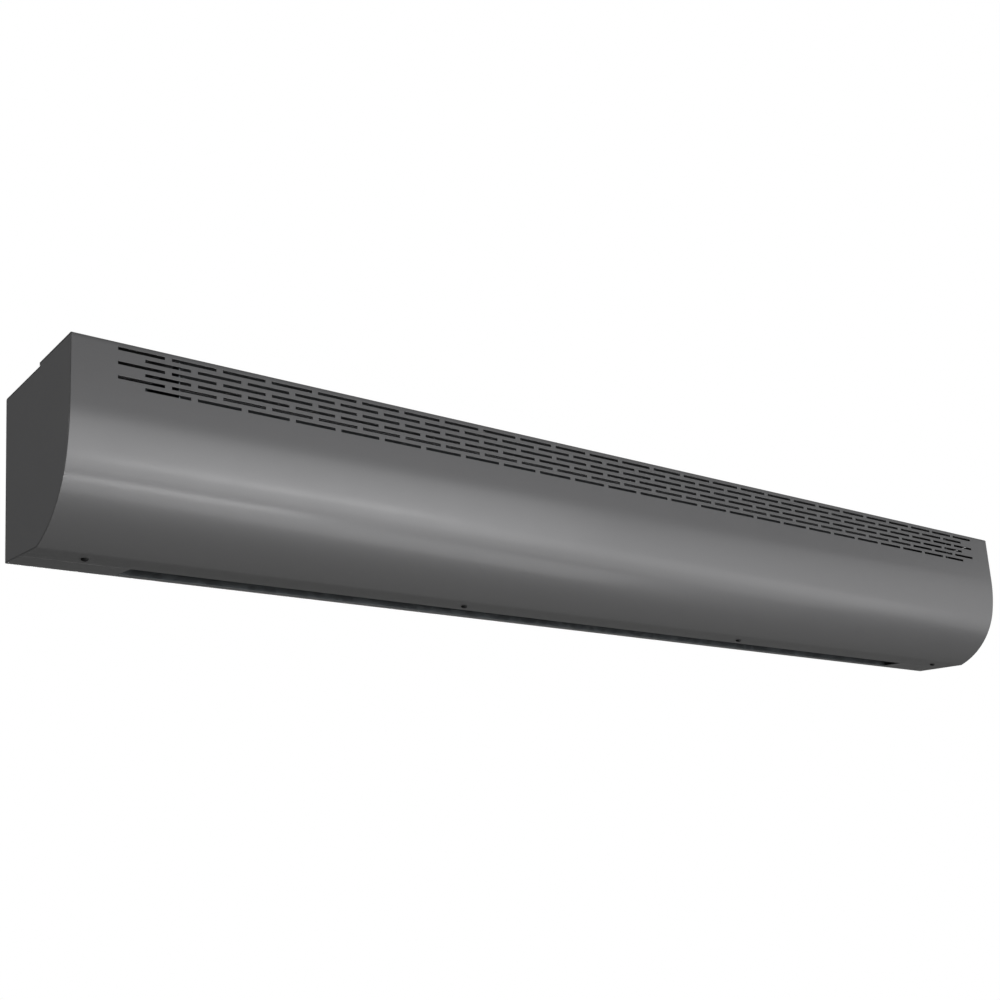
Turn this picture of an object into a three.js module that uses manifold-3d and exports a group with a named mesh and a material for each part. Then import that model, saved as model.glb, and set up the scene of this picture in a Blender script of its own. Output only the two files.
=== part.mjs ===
// Wall-mounted air curtain, 1.5 m wide, with a central motor that drives two cross-flow wheels.
// Millimetres. +X runs along the unit, +Y points into the wall, +Z is up, and the front faces -Y.
// The origin is the middle of the flat back that lies against the wall.

import * as THREE from 'three';
import { mergeGeometries, mergeVertices } from 'three/addons/utils/BufferGeometryUtils.js';
import Module from 'manifold-3d';

const wasm = await Module();
wasm.setup();

// ---- Whole unit -------------------------------------------------------------------------------

const LENGTH = 1500; // end to end
const DEPTH = 160; // wall to the top edge of the front
const CASE_HEIGHT = 172; // the rear casing, bottom to top
const COVER_RISE = 4; // the cover's top above the casing's top
const COVER_DROP = 7.8; // the cover's bottom front edge below the casing's bottom
const GAP = 0.3; // clearance between neighbouring pieces
const RUNNING_GAP = 0.1; // clearance round a turning shaft
const END_COMPARTMENT = 110; // each end of the unit beyond the air outlet

// ---- Sheet metal ------------------------------------------------------------------------------

const COVER_SHEET = 1;
const CASE_SHEET = 1.2;
const END_SHEET = 1.2;
const BULKHEAD_SHEET = 1.5;
const DUCT_SHEET = 0.8;
const RAIL_SHEET = 2;
const BRACKET_SHEET = 1.5;
const BEND_RADIUS = 2; // outside radius of the shell's folds
const BEND_STEPS = 3;
const LEAST_FOLD = THREE.MathUtils.degToRad(22); // gentler corners stay as they are
const FLANGE_WIDTH = 9; // end plates' and bulkheads' flanges on the casing's back
const FLANGE_MARGIN = 20; // those flanges' ends to the casing's top and bottom

// ---- Front cover ------------------------------------------------------------------------------

const COVER_TOP_DEPTH = 75; // top flange, from the front corner back
const CASE_TOP_LAP = 14; // the casing's top runs this far under the cover's top
const FRONT_LEAN = THREE.MathUtils.degToRad(2.9); // the upper front leans back to the wall
const UPPER_ARC_RADIUS = 207;
const UPPER_ARC_TURN = THREE.MathUtils.degToRad(13.8);
const UPPER_ARC_STEPS = 4;
const LOWER_ARC_RADIUS = 101.5;
const LOWER_ARC_TURN = THREE.MathUtils.degToRad(58.4);
const LOWER_ARC_STEPS = 11;

const SLOT_ROWS = 6;
const SLOT_LENGTH = 47.2;
const SLOT_WIDTH = 3.1;
const SLOT_PITCH = 54.5;
const SLOT_ROW_PITCH = 7.15;
const SLOT_TOP_MARGIN = 6.7; // top corner to the middle of the first row
const SLOT_END_MARGIN = 44; // least distance from a slot to the end of the cover

// ---- Air outlet -------------------------------------------------------------------------------

const OUTLET_FRONT = 40; // wall to the outlet's front edge
const OUTLET_REAR = 12; // wall to the outlet's rear edge
const SEAM = 0.5; // between the cover's and the casing's undersides
const RAIL_SETBACK = 7.5; // bottom front edge to the rail

// ---- Cover screws -----------------------------------------------------------------------------

const COVER_SCREW_INSET = 54; // end of the unit to the first screw
const COVER_SCREW_PITCH = 476; // between the two middle screws
const COVER_SCREW_SETBACK = 17; // bottom front edge to the screws
const SCREW_RADIUS = 1.9;
const SCREW_HEAD_RADIUS = 3.7;
const SCREW_HEAD_FACE = 2.7; // radius of the head's flat face
const SCREW_HEAD_HEIGHT = 2.2;
const SCREW_LENGTH = 9;
const SCREW_HOLE_RADIUS = 2.4;
const SCREW_CLEARANCE = 0.8; // screw hole to the outlet guide's foot
const RECESS_LENGTH = 4; // cross recess in a head
const RECESS_WIDTH = 1;
const RECESS_DEPTH = 1.2;

// ---- Wall fixing and cable entry --------------------------------------------------------------

const KEYHOLE_SPACING = 1120;
const KEYHOLE_HEIGHT = 126; // above the bottom of the casing
const KEYHOLE_RADIUS = 6.5; // lets the wall screw's head in
const KEYHOLE_NECK_WIDTH = 6.5; // lies on the wall screw's shank
const KEYHOLE_NECK_LENGTH = 16;

const GLAND_FROM_WALL = 42;
const GLAND_FROM_END = 60;
const GLAND_BORE = 5; // radius, as all the gland's sizes are
const GLAND_THREAD = 8;
const GLAND_FLANGE = 12;
const GLAND_FLANGE_HEIGHT = 4;
const GLAND_DOME = 9.5;
const GLAND_DOME_HEIGHT = 8;
const GLAND_CHAMFER = 2;
const GLAND_THREAD_LENGTH = 12; // below the casing's top
const LOCKNUT_RADIUS = 12.5;
const LOCKNUT_HEIGHT = 5;

// ---- Fan --------------------------------------------------------------------------------------

const FAN_FROM_WALL = 72;
const FAN_HEIGHT = 102; // above the bottom of the casing
const IMPELLER_RADIUS = 45;
const IMPELLER_MOTOR_GAP = 6; // motor boss to impeller
const IMPELLER_END_GAP = 5; // impeller to bulkhead
const END_DISC = 2;
const MIDDLE_RING = 1.5;
const BLADE_COUNT = 18;
const BLADE_DEPTH = 12; // radial
const BLADE_SHEET = 1.2;
const BLADE_SWEEP = THREE.MathUtils.degToRad(15);
const BLADE_STEPS = 2;
const HUB_RADIUS = 11;
const HUB_LENGTH = 24;
const STUB_HUB_LENGTH = 16;
const STUB_REACH = 14; // stub shaft beyond the impeller's outer disc
const SHAFT_RADIUS = 4;
const SHAFT_CHAMFER = 1;
const SHAFT_REACH = 20; // motor shaft inside each hub

const SCROLL_START_GAP = 4;
const SCROLL_START = THREE.MathUtils.degToRad(100);
const SCROLL_STEPS = 14;
const TONGUE_GAP = 4;
const TONGUE_START = THREE.MathUtils.degToRad(195);
const TONGUE_END = THREE.MathUtils.degToRad(230);
const TONGUE_STEPS = 4;

// ---- Motor ------------------------------------------------------------------------------------

const MOTOR_RADIUS = 42;
const MOTOR_LENGTH = 78;
const MOTOR_SHOULDER = 8; // rounded ends of the housing
const BOSS_RADIUS = 14;
const BOSS_LENGTH = 10;
const RING_WALL = 4; // rubber between boss and cradle
const RING_LIP = 3; // rubber over the cradle's face, each side of it
const RING_WIDTH = 8;
const CRADLE_RIM = 7; // cradle around the ring's hole
const CRADLE_DROP = 60; // fan axis to the cradle's lower end

// ---- Bearings ---------------------------------------------------------------------------------

const BEARING_RADIUS = 9;
const BEARING_WIDTH = 8;
const GROMMET_WALL = 6;
const GROMMET_LIP = 3;
const GROMMET_LIP_THICKNESS = 2;

// ---- Heater -----------------------------------------------------------------------------------

// Rods: distance from the wall, and height above the bottom of the casing.
const ROD_PLACES = [[27, 43], [52, 42], [38, 23]];
const ROD_RADIUS = 4.25;
const ROD_PAST_BULKHEAD = 26;
const ROD_STUD_RADIUS = 2;
const ROD_STUD_LENGTH = 12;
const BUSH_WALL = 2.8;
const BUSH_LIP = 2.5;
const BUSH_LIP_THICKNESS = 3;
const SUPPORT_OFFSET = 320; // middle of the unit to each rod support
const SUPPORT_TAB = 10;
const SUPPORT_BOTTOM = 14; // above the bottom of the casing
const SUPPORT_CLEARANCE = 5; // below the wheels
const STAR_BAR_SHEET = 1.5;
const STAR_BAR_MARGIN = 6; // metal around the studs

// ---- Overheat cut-out -------------------------------------------------------------------------

const CUTOUT_FROM_WALL = 62;
const CUTOUT_HEIGHT = 76; // above the bottom of the casing
const CUTOUT_RADIUS = 9;
const CUTOUT_LENGTH = 12;
const CUTOUT_PLATE_WIDTH = 34;
const CUTOUT_PLATE_HEIGHT = 12;
const CUTOUT_PLATE_SHEET = 1.2;
const RESET_RADIUS = 2;
const RESET_DEPTH = 6; // button inside the body
const RESET_PROUD = 3;
const RESET_TRAVEL = 1.5;

// ---- Control tray, left end -------------------------------------------------------------------

const TRAY_FROM_WALL = 18;
const TRAY_SIDE_GAP = 2; // tray to the flanges on each side of it
const TRAY_MARGIN = 16; // the casing's bottom and top to the tray's folds
const TRAY_FOOT = 10;
const BOARD_WIDTH = 78;
const BOARD_HEIGHT = 52;
const BOARD_SHEET = 1.6;
const BOARD_DROP = 5; // terminal block to board
const BOARD_STANDOFF = 6;
const STANDOFF_RADIUS = 3;
const STANDOFF_INSET = 5;
const RELAY_WIDTH = 16;
const RELAY_HEIGHT = 20;
const RELAY_DEPTH = 20;
const RELAY_PITCH = 24;
const RELAY_RISE = 12; // relays above the middle of the board
const TERMINAL_WIDTH = 62;
const TERMINAL_HEIGHT = 22;
const TERMINAL_DEPTH = 20;
const TERMINAL_DROP = 20; // the tray's upper fold to the middle of the block
const TERMINAL_WAYS = 5;
const TERMINAL_WELL_RADIUS = 3.2;
const TERMINAL_WELL_DEPTH = 9;
const CAPACITOR_RADIUS = 14;
const CAPACITOR_LENGTH = 44;
const CAPACITOR_RIM = 1; // chamfer at each end of the can
const CAPACITOR_RISE = 16; // the tray's lower fold to the capacitor's axis
const CAPACITOR_FROM_END = 6; // end plate to capacitor
const CLIP_SHEET = 1;
const CLIP_WIDTH = 14;
const CLIP_FOOT = 12;
const CLIP_START = THREE.MathUtils.degToRad(100);
const CLIP_TURN = THREE.MathUtils.degToRad(260);
const CLIP_STEPS = 12;
const EARTH_SCREW_DROP = 4.5; // below the tray's upper fold
const EARTH_SCREW_RADIUS = 2;
const EARTH_HEAD_RADIUS = 3.5;
const EARTH_HEAD_HEIGHT = 2.4;
const EARTH_SCREW_LENGTH = 8;

// ---- Leads ------------------------------------------------------------------------------------

const LEAD_SIDES = 8;
const LEAD_STEP = 3; // length of one straight facet of a lead, in diameters
const MOTOR_LEAD_RADIUS = 3;
const MOTOR_LEAD_BEND = 16; // reach of its bends
const LEAD_HOLE_RADIUS = 5;
const LEAD_RUN_SETBACK = 50; // the front to the motor lead's run behind the cover
const LEAD_RUN_HEIGHT = 36;
const HEATER_LEAD_RADIUS = 2;
const HEATER_LEAD_BEND = 7;
const HEATER_LEAD_RISE = 20; // its upright part, below the relays
const SUPPLY_LEAD_RADIUS = 1.5;
const SUPPLY_LEAD_BEND = 2;

// ---- Resolution of round shapes ---------------------------------------------------------------

const ROUND_SIDES = 16;
const ROD_SIDES = 12;
const HEX_SIDES = 6;
const CUT_REACH = 3; // a cutter's length beyond each face that it passes

// ---- Places worked out from the sizes above ---------------------------------------------------

const HALF = LENGTH / 2;
const BASE_Z = -CASE_HEIGHT / 2;
const CASE_TOP_Z = CASE_HEIGHT / 2;
const COVER_TOP_Z = CASE_TOP_Z + COVER_RISE;
const COVER_LAP_Y = COVER_TOP_DEPTH - DEPTH; // rear edge of the cover's top
const CHAMBER_HALF = HALF - END_COMPARTMENT; // fan chamber, and the outlet
const BULKHEAD_OUTER = CHAMBER_HALF + BULKHEAD_SHEET;
const PLATE_INNER = HALF - END_SHEET; // inside face of an end plate
const SHELL_INSET = Math.max(COVER_SHEET, CASE_SHEET) + GAP; // shell to what fits in it
const FOOT_HEIGHT = COVER_SHEET + GAP + RAIL_SHEET + GAP; // underside to what stands on the rail
const FAN_Y = -FAN_FROM_WALL;
const FAN_Z = BASE_Z + FAN_HEIGHT;
const BACK_INNER_Y = -CASE_SHEET - GAP;
const MOTOR_HALF = MOTOR_LENGTH / 2;
const BOSS_END = MOTOR_HALF + BOSS_LENGTH;
const IMPELLER_START = BOSS_END + IMPELLER_MOTOR_GAP;
const IMPELLER_LENGTH = CHAMBER_HALF - IMPELLER_END_GAP - IMPELLER_START;
const TRAY_Y = -TRAY_FROM_WALL;
const TRAY_FRONT_Y = TRAY_Y - BRACKET_SHEET - GAP; // what sits on the tray starts here

const above = (height) => BASE_Z + height;

// ---- Materials --------------------------------------------------------------------------------

const finish = (color, roughness, metalness) => () =>
  new THREE.MeshStandardMaterial({ color, roughness, metalness });
const paint = finish(0x646466, 0.42, 0.25);
const zincSheet = finish(0xa9adb0, 0.4, 0.85);
const aluminium = finish(0xb9bcbe, 0.38, 0.9);
const castMotor = finish(0x6f7376, 0.45, 0.8);
const steel = finish(0xc3c5c6, 0.25, 1);
const rodSteel = finish(0x8f8a84, 0.4, 0.9);
const bronze = finish(0xa8763c, 0.4, 0.9);
const brass = finish(0xb5903f, 0.35, 0.9);
const rubber = finish(0x1d1d1e, 0.85, 0);
const ceramic = finish(0xe6e1d6, 0.55, 0);
const blackPlastic = finish(0x232425, 0.5, 0);
const whitePlastic = finish(0xd9d8d2, 0.5, 0);
const redPlastic = finish(0xa92a22, 0.4, 0);
const boardGreen = finish(0x1f5a3a, 0.45, 0.1);
const relayBlue = finish(0x27476e, 0.4, 0);
const screwBlack = finish(0x1b1b1c, 0.45, 0.6);
const leadSleeve = finish(0x2b2b2d, 0.7, 0);

// ---- Lines in the YZ section ------------------------------------------------------------------

const at = (y, z) => new THREE.Vector2(y, z);
const polar = (radius, angle) =>
  at(FAN_Y + radius * Math.cos(angle), FAN_Z + radius * Math.sin(angle));

// Moves a line sideways, to its left for a positive distance, with mitred corners.
function offsetLine(line, distance, closed = false) {
  const count = line.length;
  return line.map((point, index) => {
    const before = closed || index > 0 ? line[(index + count - 1) % count] : null;
    const after = closed || index < count - 1 ? line[(index + 1) % count] : null;
    const into = before ? point.clone().sub(before).normalize() : after.clone().sub(point).normalize();
    const outof = after ? after.clone().sub(point).normalize() : into;
    const left = at(-into.y - outof.y, into.x + outof.x).normalize();
    const stretch = left.x * -into.y + left.y * into.x;
    return point.clone().addScaledVector(left, distance / stretch);
  });
}

// Rounds each corner of an open line whose two sides are long enough for the fold.
function foldLine(line, radius) {
  const folded = [line[0]];
  for (let i = 1; i < line.length - 1; i += 1) {
    const into = line[i].clone().sub(line[i - 1]);
    const outof = line[i + 1].clone().sub(line[i]);
    const turn = into.angleTo(outof);
    const reach = radius * Math.tan(turn / 2);
    if (turn < LEAST_FOLD || reach > Math.min(into.length(), outof.length()) / 2) {
      folded.push(line[i]);
      continue;
    }
    const start = line[i].clone().addScaledVector(into.normalize(), -reach);
    const end = line[i].clone().addScaledVector(outof.normalize(), reach);
    const curve = new THREE.QuadraticBezierCurve(start, line[i], end);
    folded.push(...curve.getPoints(BEND_STEPS));
  }
  folded.push(line[line.length - 1]);
  return folded;
}

const thicken = (line, sheet) => [...line, ...offsetLine(line, sheet).reverse()];

// The front, from the top corner down its flat and round its two arcs to the bottom front edge.
function frontLine() {
  const curve = [at(0, 0)];
  let heading = FRONT_LEAN - Math.PI / 2;
  const bend = (radius, turn, steps) => {
    const bite = turn / steps;
    const chord = 2 * radius * Math.sin(bite / 2);
    for (let i = 0; i < steps; i += 1) {
      const direction = heading + bite / 2;
      const step = at(chord * Math.cos(direction), chord * Math.sin(direction));
      curve.push(curve[curve.length - 1].clone().add(step));
      heading += bite;
    }
  };
  bend(UPPER_ARC_RADIUS, UPPER_ARC_TURN, UPPER_ARC_STEPS);
  bend(LOWER_ARC_RADIUS, LOWER_ARC_TURN, LOWER_ARC_STEPS);
  const drop = COVER_TOP_Z - BASE_Z + COVER_DROP + curve[curve.length - 1].y; // down the flat
  const flatEnd = at(drop * Math.tan(FRONT_LEAN) - DEPTH, COVER_TOP_Z - drop);
  return [at(-DEPTH, COVER_TOP_Z), ...curve.map((point) => point.add(flatEnd))];
}

const FRONT = frontLine();
const BOTTOM_EDGE = FRONT[FRONT.length - 1];
const UNDER_SLOPE = Math.atan2(BASE_Z - BOTTOM_EDGE.y, -BOTTOM_EDGE.x);

// A point over the underside, which slopes from the wall down to the bottom front edge.
const overUnderside = (y, height) =>
  at(y, BASE_Z + y * Math.tan(UNDER_SLOPE) + height / Math.cos(UNDER_SLOPE));

// The closed outline of the whole shell, moved inwards.
function shellSection(inset) {
  const outline = [
    ...FRONT,
    at(0, BASE_Z),
    at(0, CASE_TOP_Z),
    at(COVER_LAP_Y, CASE_TOP_Z),
    at(COVER_LAP_Y, COVER_TOP_Z),
  ];
  return offsetLine(outline, inset, true);
}

// ---- Solids -----------------------------------------------------------------------------------

const SECTION_TO_WORLD = new THREE.Matrix4().makeBasis(
  new THREE.Vector3(0, 1, 0),
  new THREE.Vector3(0, 0, 1),
  new THREE.Vector3(1, 0, 0),
);

// A YZ outline, with round holes [y, z, radius, sides], extruded along X.
function alongX(outline, from, to, holes = []) {
  const shape = new THREE.Shape(outline);
  for (const [y, z, radius, sides] of holes) {
    shape.holes.push(new THREE.Path(circle(y, z, radius, sides)));
  }
  const low = Math.min(from, to);
  const depth = Math.abs(to - from);
  const geometry = new THREE.ExtrudeGeometry(shape, { depth, steps: 1, bevelEnabled: false });
  return geometry.applyMatrix4(SECTION_TO_WORLD).translate(low, 0, 0);
}

function circle(y, z, radius, sides = ROUND_SIDES) {
  return Array.from({ length: sides }, (_, i) => {
    const angle = (2 * Math.PI * i) / sides;
    return at(y + radius * Math.cos(angle), z + radius * Math.sin(angle));
  });
}

// A box from its lowest to its highest corner.
function block(x0, y0, z0, x1, y1, z1) {
  const geometry = new THREE.BoxGeometry(x1 - x0, y1 - y0, z1 - z0);
  return geometry.translate((x0 + x1) / 2, (y0 + y1) / 2, (z0 + z1) / 2);
}

// A turned piece about X. Its profile is [radius, x] points, counter-clockwise.
function turned(profile, sides = ROUND_SIDES) {
  const points = profile.map(([radius, x]) => at(radius, x));
  return new THREE.LatheGeometry(points, sides).rotateZ(-Math.PI / 2);
}

// A turned tube about X with a bore.
const collar = (bore, radius, from, to, sides) =>
  turned([[bore, from], [radius, from], [radius, to], [bore, to], [bore, from]], sides);

// A ring with a lip on each side of the plate that it sits in. The plate's middle is x = 0.
function grommet(bore, waist, lip, plate, lipThickness, sides = ROUND_SIDES) {
  const half = plate / 2 + GAP;
  const end = half + lipThickness;
  const profile = [
    [bore, -end], [lip, -end], [lip, -half], [waist, -half],
    [waist, half], [lip, half], [lip, end], [bore, end], [bore, -end],
  ];
  return turned(profile, sides);
}

function toSolid(geometry) {
  const bare = geometry.clone();
  bare.deleteAttribute('normal');
  bare.deleteAttribute('uv');
  const merged = mergeVertices(bare, 1e-4);
  const vertProperties = merged.attributes.position.array;
  const triVerts = new Uint32Array(merged.index.array);
  return new wasm.Manifold(new wasm.Mesh({ numProp: 3, vertProperties, triVerts }));
}

function toGeometry(solid) {
  const mesh = solid.getMesh();
  const geometry = new THREE.BufferGeometry();
  geometry.setAttribute('position', new THREE.BufferAttribute(mesh.vertProperties, 3));
  geometry.setIndex(new THREE.BufferAttribute(mesh.triVerts, 1));
  geometry.computeVertexNormals();
  return geometry;
}

const join = (first, ...rest) =>
  toGeometry(rest.reduce((whole, next) => whole.add(toSolid(next)), toSolid(first)));
const cut = (first, ...rest) =>
  toGeometry(rest.reduce((whole, next) => whole.subtract(toSolid(next)), toSolid(first)));

function piece(name, geometry, material, x = 0, y = 0, z = 0) {
  const mesh = new THREE.Mesh(geometry, material());
  mesh.name = name;
  mesh.position.set(x, y, z);
  return mesh;
}

// ---- Shell ------------------------------------------------------------------------------------

// Staggered rows of slots, each a little box that stands square to the leaning front.
function slotCutters() {
  const pitches = Math.floor((LENGTH - 2 * SLOT_END_MARGIN - SLOT_LENGTH) / SLOT_PITCH);
  const cutters = [];
  for (let row = 0; row < SLOT_ROWS; row += 1) {
    const count = pitches + 1 - (row % 2);
    const down = SLOT_TOP_MARGIN + row * SLOT_ROW_PITCH;
    const y = -DEPTH + down * Math.sin(FRONT_LEAN);
    const z = COVER_TOP_Z - down * Math.cos(FRONT_LEAN);
    for (let i = 0; i < count; i += 1) {
      const cutter = new THREE.BoxGeometry(SLOT_LENGTH, 2 * (COVER_SHEET + CUT_REACH), SLOT_WIDTH);
      cutter.rotateX(FRONT_LEAN);
      cutters.push(cutter.translate((i - (count - 1) / 2) * SLOT_PITCH, y, z));
    }
  }
  return mergeGeometries(cutters);
}

// Where the cover screws stand, along X.
function coverScrewPlaces() {
  const outer = HALF - COVER_SCREW_INSET;
  const middle = COVER_SCREW_PITCH / 2;
  return [-outer, -middle, middle, outer];
}

const RAIL_FRONT = BOTTOM_EDGE.x + RAIL_SETBACK;
const RAIL_REAR = -OUTLET_FRONT - SEAM;
const COVER_SCREW_Y = BOTTOM_EDGE.x + COVER_SCREW_SETBACK;

// Cutters for the cover screws, square to the sloping underside.
function coverScrewCutters() {
  const centre = overUnderside(COVER_SCREW_Y, FOOT_HEIGHT / 2);
  const reach = FOOT_HEIGHT + 2 * CUT_REACH;
  return mergeGeometries(coverScrewPlaces().map((x) => {
    const hole = new THREE.CylinderGeometry(SCREW_HOLE_RADIUS, SCREW_HOLE_RADIUS, reach, ROD_SIDES);
    hole.rotateX(Math.PI / 2 + UNDER_SLOPE);
    return hole.translate(x, centre.x, centre.y);
  }));
}

function frontCover() {
  const line = foldLine([
    at(COVER_LAP_Y, CASE_TOP_Z + GAP),
    at(COVER_LAP_Y, COVER_TOP_Z),
    ...FRONT,
    overUnderside(-OUTLET_FRONT, 0),
  ], BEND_RADIUS);
  const sheet = alongX(thicken(line, COVER_SHEET), -HALF, HALF);
  return piece('front_cover', cut(sheet, slotCutters(), coverScrewCutters()), paint);
}

// A round hole for the wall screw's head, with a neck above it that drops over its shank.
function keyholeCutter(x) {
  const z = above(KEYHOLE_HEIGHT);
  const depth = 2 * (CASE_SHEET + CUT_REACH);
  const head = new THREE.CylinderGeometry(KEYHOLE_RADIUS, KEYHOLE_RADIUS, depth, ROUND_SIDES);
  const half = KEYHOLE_NECK_WIDTH / 2;
  const neck = block(x - half, -depth / 2, z, x + half, depth / 2, z + KEYHOLE_NECK_LENGTH);
  return join(head.translate(x, 0, z), neck);
}

function glandCutter() {
  const radius = GLAND_THREAD + GAP;
  const reach = 2 * (CASE_SHEET + CUT_REACH);
  const hole = new THREE.CylinderGeometry(radius, radius, reach, ROUND_SIDES).rotateX(Math.PI / 2);
  return hole.translate(GLAND_FROM_END - HALF, -GLAND_FROM_WALL, CASE_TOP_Z);
}

function rearCasing() {
  const line = foldLine([
    overUnderside(-OUTLET_FRONT + SEAM, 0),
    at(0, BASE_Z),
    at(0, CASE_TOP_Z),
    at(COVER_LAP_Y - CASE_TOP_LAP, CASE_TOP_Z),
  ], BEND_RADIUS);
  const sheet = alongX(thicken(line, CASE_SHEET), -HALF, HALF);
  const lip = -OUTLET_REAR + DUCT_SHEET + GAP; // the casing's underside stops behind the scroll
  const floor = BASE_Z + CASE_SHEET + CUT_REACH;
  const outlet = block(-CHAMBER_HALF, -DEPTH, BASE_Z - DEPTH, CHAMBER_HALF, lip, floor);
  const cutters = [outlet, glandCutter()];
  for (const side of [-1, 1]) {
    const relief = alongX([
      at(-DEPTH, 0), at(COVER_LAP_Y - COVER_SHEET, 0),
      at(COVER_LAP_Y - COVER_SHEET, CASE_HEIGHT), at(-DEPTH, CASE_HEIGHT),
    ], side * (PLATE_INNER - GAP), side * (HALF + CUT_REACH)); // clears the end plate
    cutters.push(relief, keyholeCutter((side * KEYHOLE_SPACING) / 2));
  }
  return piece('rear_casing', cut(sheet, ...cutters), paint);
}

// A strip on the inside of the casing's back, between two places along X.
function backStrip(depth, from, to) {
  const low = above(FLANGE_MARGIN);
  const y = BACK_INNER_Y;
  return alongX([at(y - depth, low), at(y, low), at(y, -low), at(y - depth, -low)], from, to);
}

// An end plate inside the shell, with a flange along the casing's back.
function endPlate(name, side) {
  const inner = side * PLATE_INNER;
  const plate = alongX(shellSection(SHELL_INSET), inner, side * HALF);
  const flange = backStrip(END_SHEET, inner - side * FLANGE_WIDTH, side * HALF);
  return piece(name, join(plate, flange), paint);
}

// The strip inside the underside that the cover is screwed to.
function baseRail() {
  const bottom = COVER_SHEET + GAP;
  const outline = [
    overUnderside(RAIL_FRONT, bottom),
    overUnderside(RAIL_REAR, bottom),
    overUnderside(RAIL_REAR, bottom + RAIL_SHEET),
    overUnderside(RAIL_FRONT, bottom + RAIL_SHEET),
  ];
  const strip = alongX(outline, GAP - PLATE_INNER, PLATE_INNER - GAP);
  return piece('base_rail', cut(strip, coverScrewCutters()), zincSheet);
}

// A screw that points along +Y. The underside of its head is y = 0.
function screwBlank(headRadius, faceRadius, headHeight, headSides, radius, length) {
  const head = new THREE.CylinderGeometry(headRadius, faceRadius, headHeight, headSides);
  const shank = new THREE.CylinderGeometry(radius, radius, length + headHeight / 2, ROD_SIDES);
  return join(
    head.translate(0, -headHeight / 2, 0),
    shank.translate(0, length / 2 - headHeight / 4, 0),
  );
}

// A pan head with a cross recess, over a plain shank.
function coverScrew(index, x) {
  const blank = screwBlank(
    SCREW_HEAD_RADIUS, SCREW_HEAD_FACE, SCREW_HEAD_HEIGHT, ROUND_SIDES, SCREW_RADIUS, SCREW_LENGTH,
  );
  const arm = new THREE.BoxGeometry(RECESS_LENGTH, 2 * RECESS_DEPTH, RECESS_WIDTH);
  arm.translate(0, -SCREW_HEAD_HEIGHT, 0);
  const body = cut(blank, arm, arm.clone().rotateY(Math.PI / 2));
  const foot = overUnderside(COVER_SCREW_Y, -GAP);
  const mesh = piece(`cover_screw_${index + 1}`, body, screwBlack, x, foot.x, foot.y);
  mesh.rotation.x = Math.PI / 2 + UNDER_SLOPE;
  return mesh;
}

// A cable gland through the casing's top, with a bore from outside to inside.
function cableGland() {
  const profile = [
    [GLAND_BORE, -GLAND_THREAD_LENGTH], [GLAND_THREAD, -GLAND_THREAD_LENGTH], [GLAND_THREAD, GAP],
    [GLAND_FLANGE, GAP], [GLAND_FLANGE, GLAND_FLANGE_HEIGHT], [GLAND_DOME, GLAND_FLANGE_HEIGHT],
    [GLAND_DOME, GLAND_DOME_HEIGHT - GLAND_CHAMFER], [GLAND_DOME - GLAND_CHAMFER, GLAND_DOME_HEIGHT],
    [GLAND_BORE, GLAND_DOME_HEIGHT], [GLAND_BORE, -GLAND_THREAD_LENGTH],
  ];
  const body = new THREE.LatheGeometry(profile.map(([radius, z]) => at(radius, z)), ROUND_SIDES);
  body.rotateX(Math.PI / 2);
  return piece('cable_gland', body, blackPlastic, GLAND_FROM_END - HALF, -GLAND_FROM_WALL, CASE_TOP_Z);
}

function glandLocknut() {
  const bore = GLAND_THREAD + GAP;
  const top = -CASE_SHEET - GAP;
  const bottom = top - LOCKNUT_HEIGHT;
  const profile = [
    at(bore, bottom), at(LOCKNUT_RADIUS, bottom), at(LOCKNUT_RADIUS, top), at(bore, top), at(bore, bottom),
  ];
  const nut = new THREE.LatheGeometry(profile, ROUND_SIDES).rotateX(Math.PI / 2);
  return piece('gland_locknut', nut, blackPlastic, GLAND_FROM_END - HALF, -GLAND_FROM_WALL, CASE_TOP_Z);
}

// ---- Air duct ---------------------------------------------------------------------------------

// The sheet behind the wheels: a wall up to the casing's top, a spiral, and the outlet's rear wall.
function fanScroll() {
  const wide = FAN_FROM_WALL - OUTLET_REAR;
  const tight = IMPELLER_RADIUS + SCROLL_START_GAP;
  const spiral = Array.from({ length: SCROLL_STEPS + 1 }, (_, i) => {
    const share = i / SCROLL_STEPS;
    return polar(THREE.MathUtils.lerp(tight, wide, share), SCROLL_START * (1 - share));
  });
  const line = [
    at(spiral[0].x, CASE_TOP_Z - CASE_SHEET - GAP),
    ...spiral,
    overUnderside(-OUTLET_REAR, 0),
  ];
  const end = CHAMBER_HALF - GAP;
  return piece('fan_scroll', alongX(thicken(line, DUCT_SHEET), -end, end), zincSheet);
}

const TONGUE_RADIUS = IMPELLER_RADIUS + TONGUE_GAP;
const GUIDE_HEEL = overUnderside(RAIL_REAR, FOOT_HEIGHT); // where its foot begins
const GUIDE_TOP = polar(TONGUE_RADIUS, TONGUE_END); // where its tongue begins

// The tongue beside the wheels, the outlet's sloping front wall and its foot on the rail.
function outletGuide() {
  const tongue = Array.from({ length: TONGUE_STEPS + 1 }, (_, i) =>
    polar(TONGUE_RADIUS, THREE.MathUtils.lerp(TONGUE_START, TONGUE_END, i / TONGUE_STEPS)));
  const toe = overUnderside(COVER_SCREW_Y + SCREW_HOLE_RADIUS + SCREW_CLEARANCE, FOOT_HEIGHT);
  const outline = thicken([...tongue, GUIDE_HEEL, toe], -DUCT_SHEET);
  const end = CHAMBER_HALF - GAP;
  return piece('outlet_guide', alongX(outline, -end, end), zincSheet);
}

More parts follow.
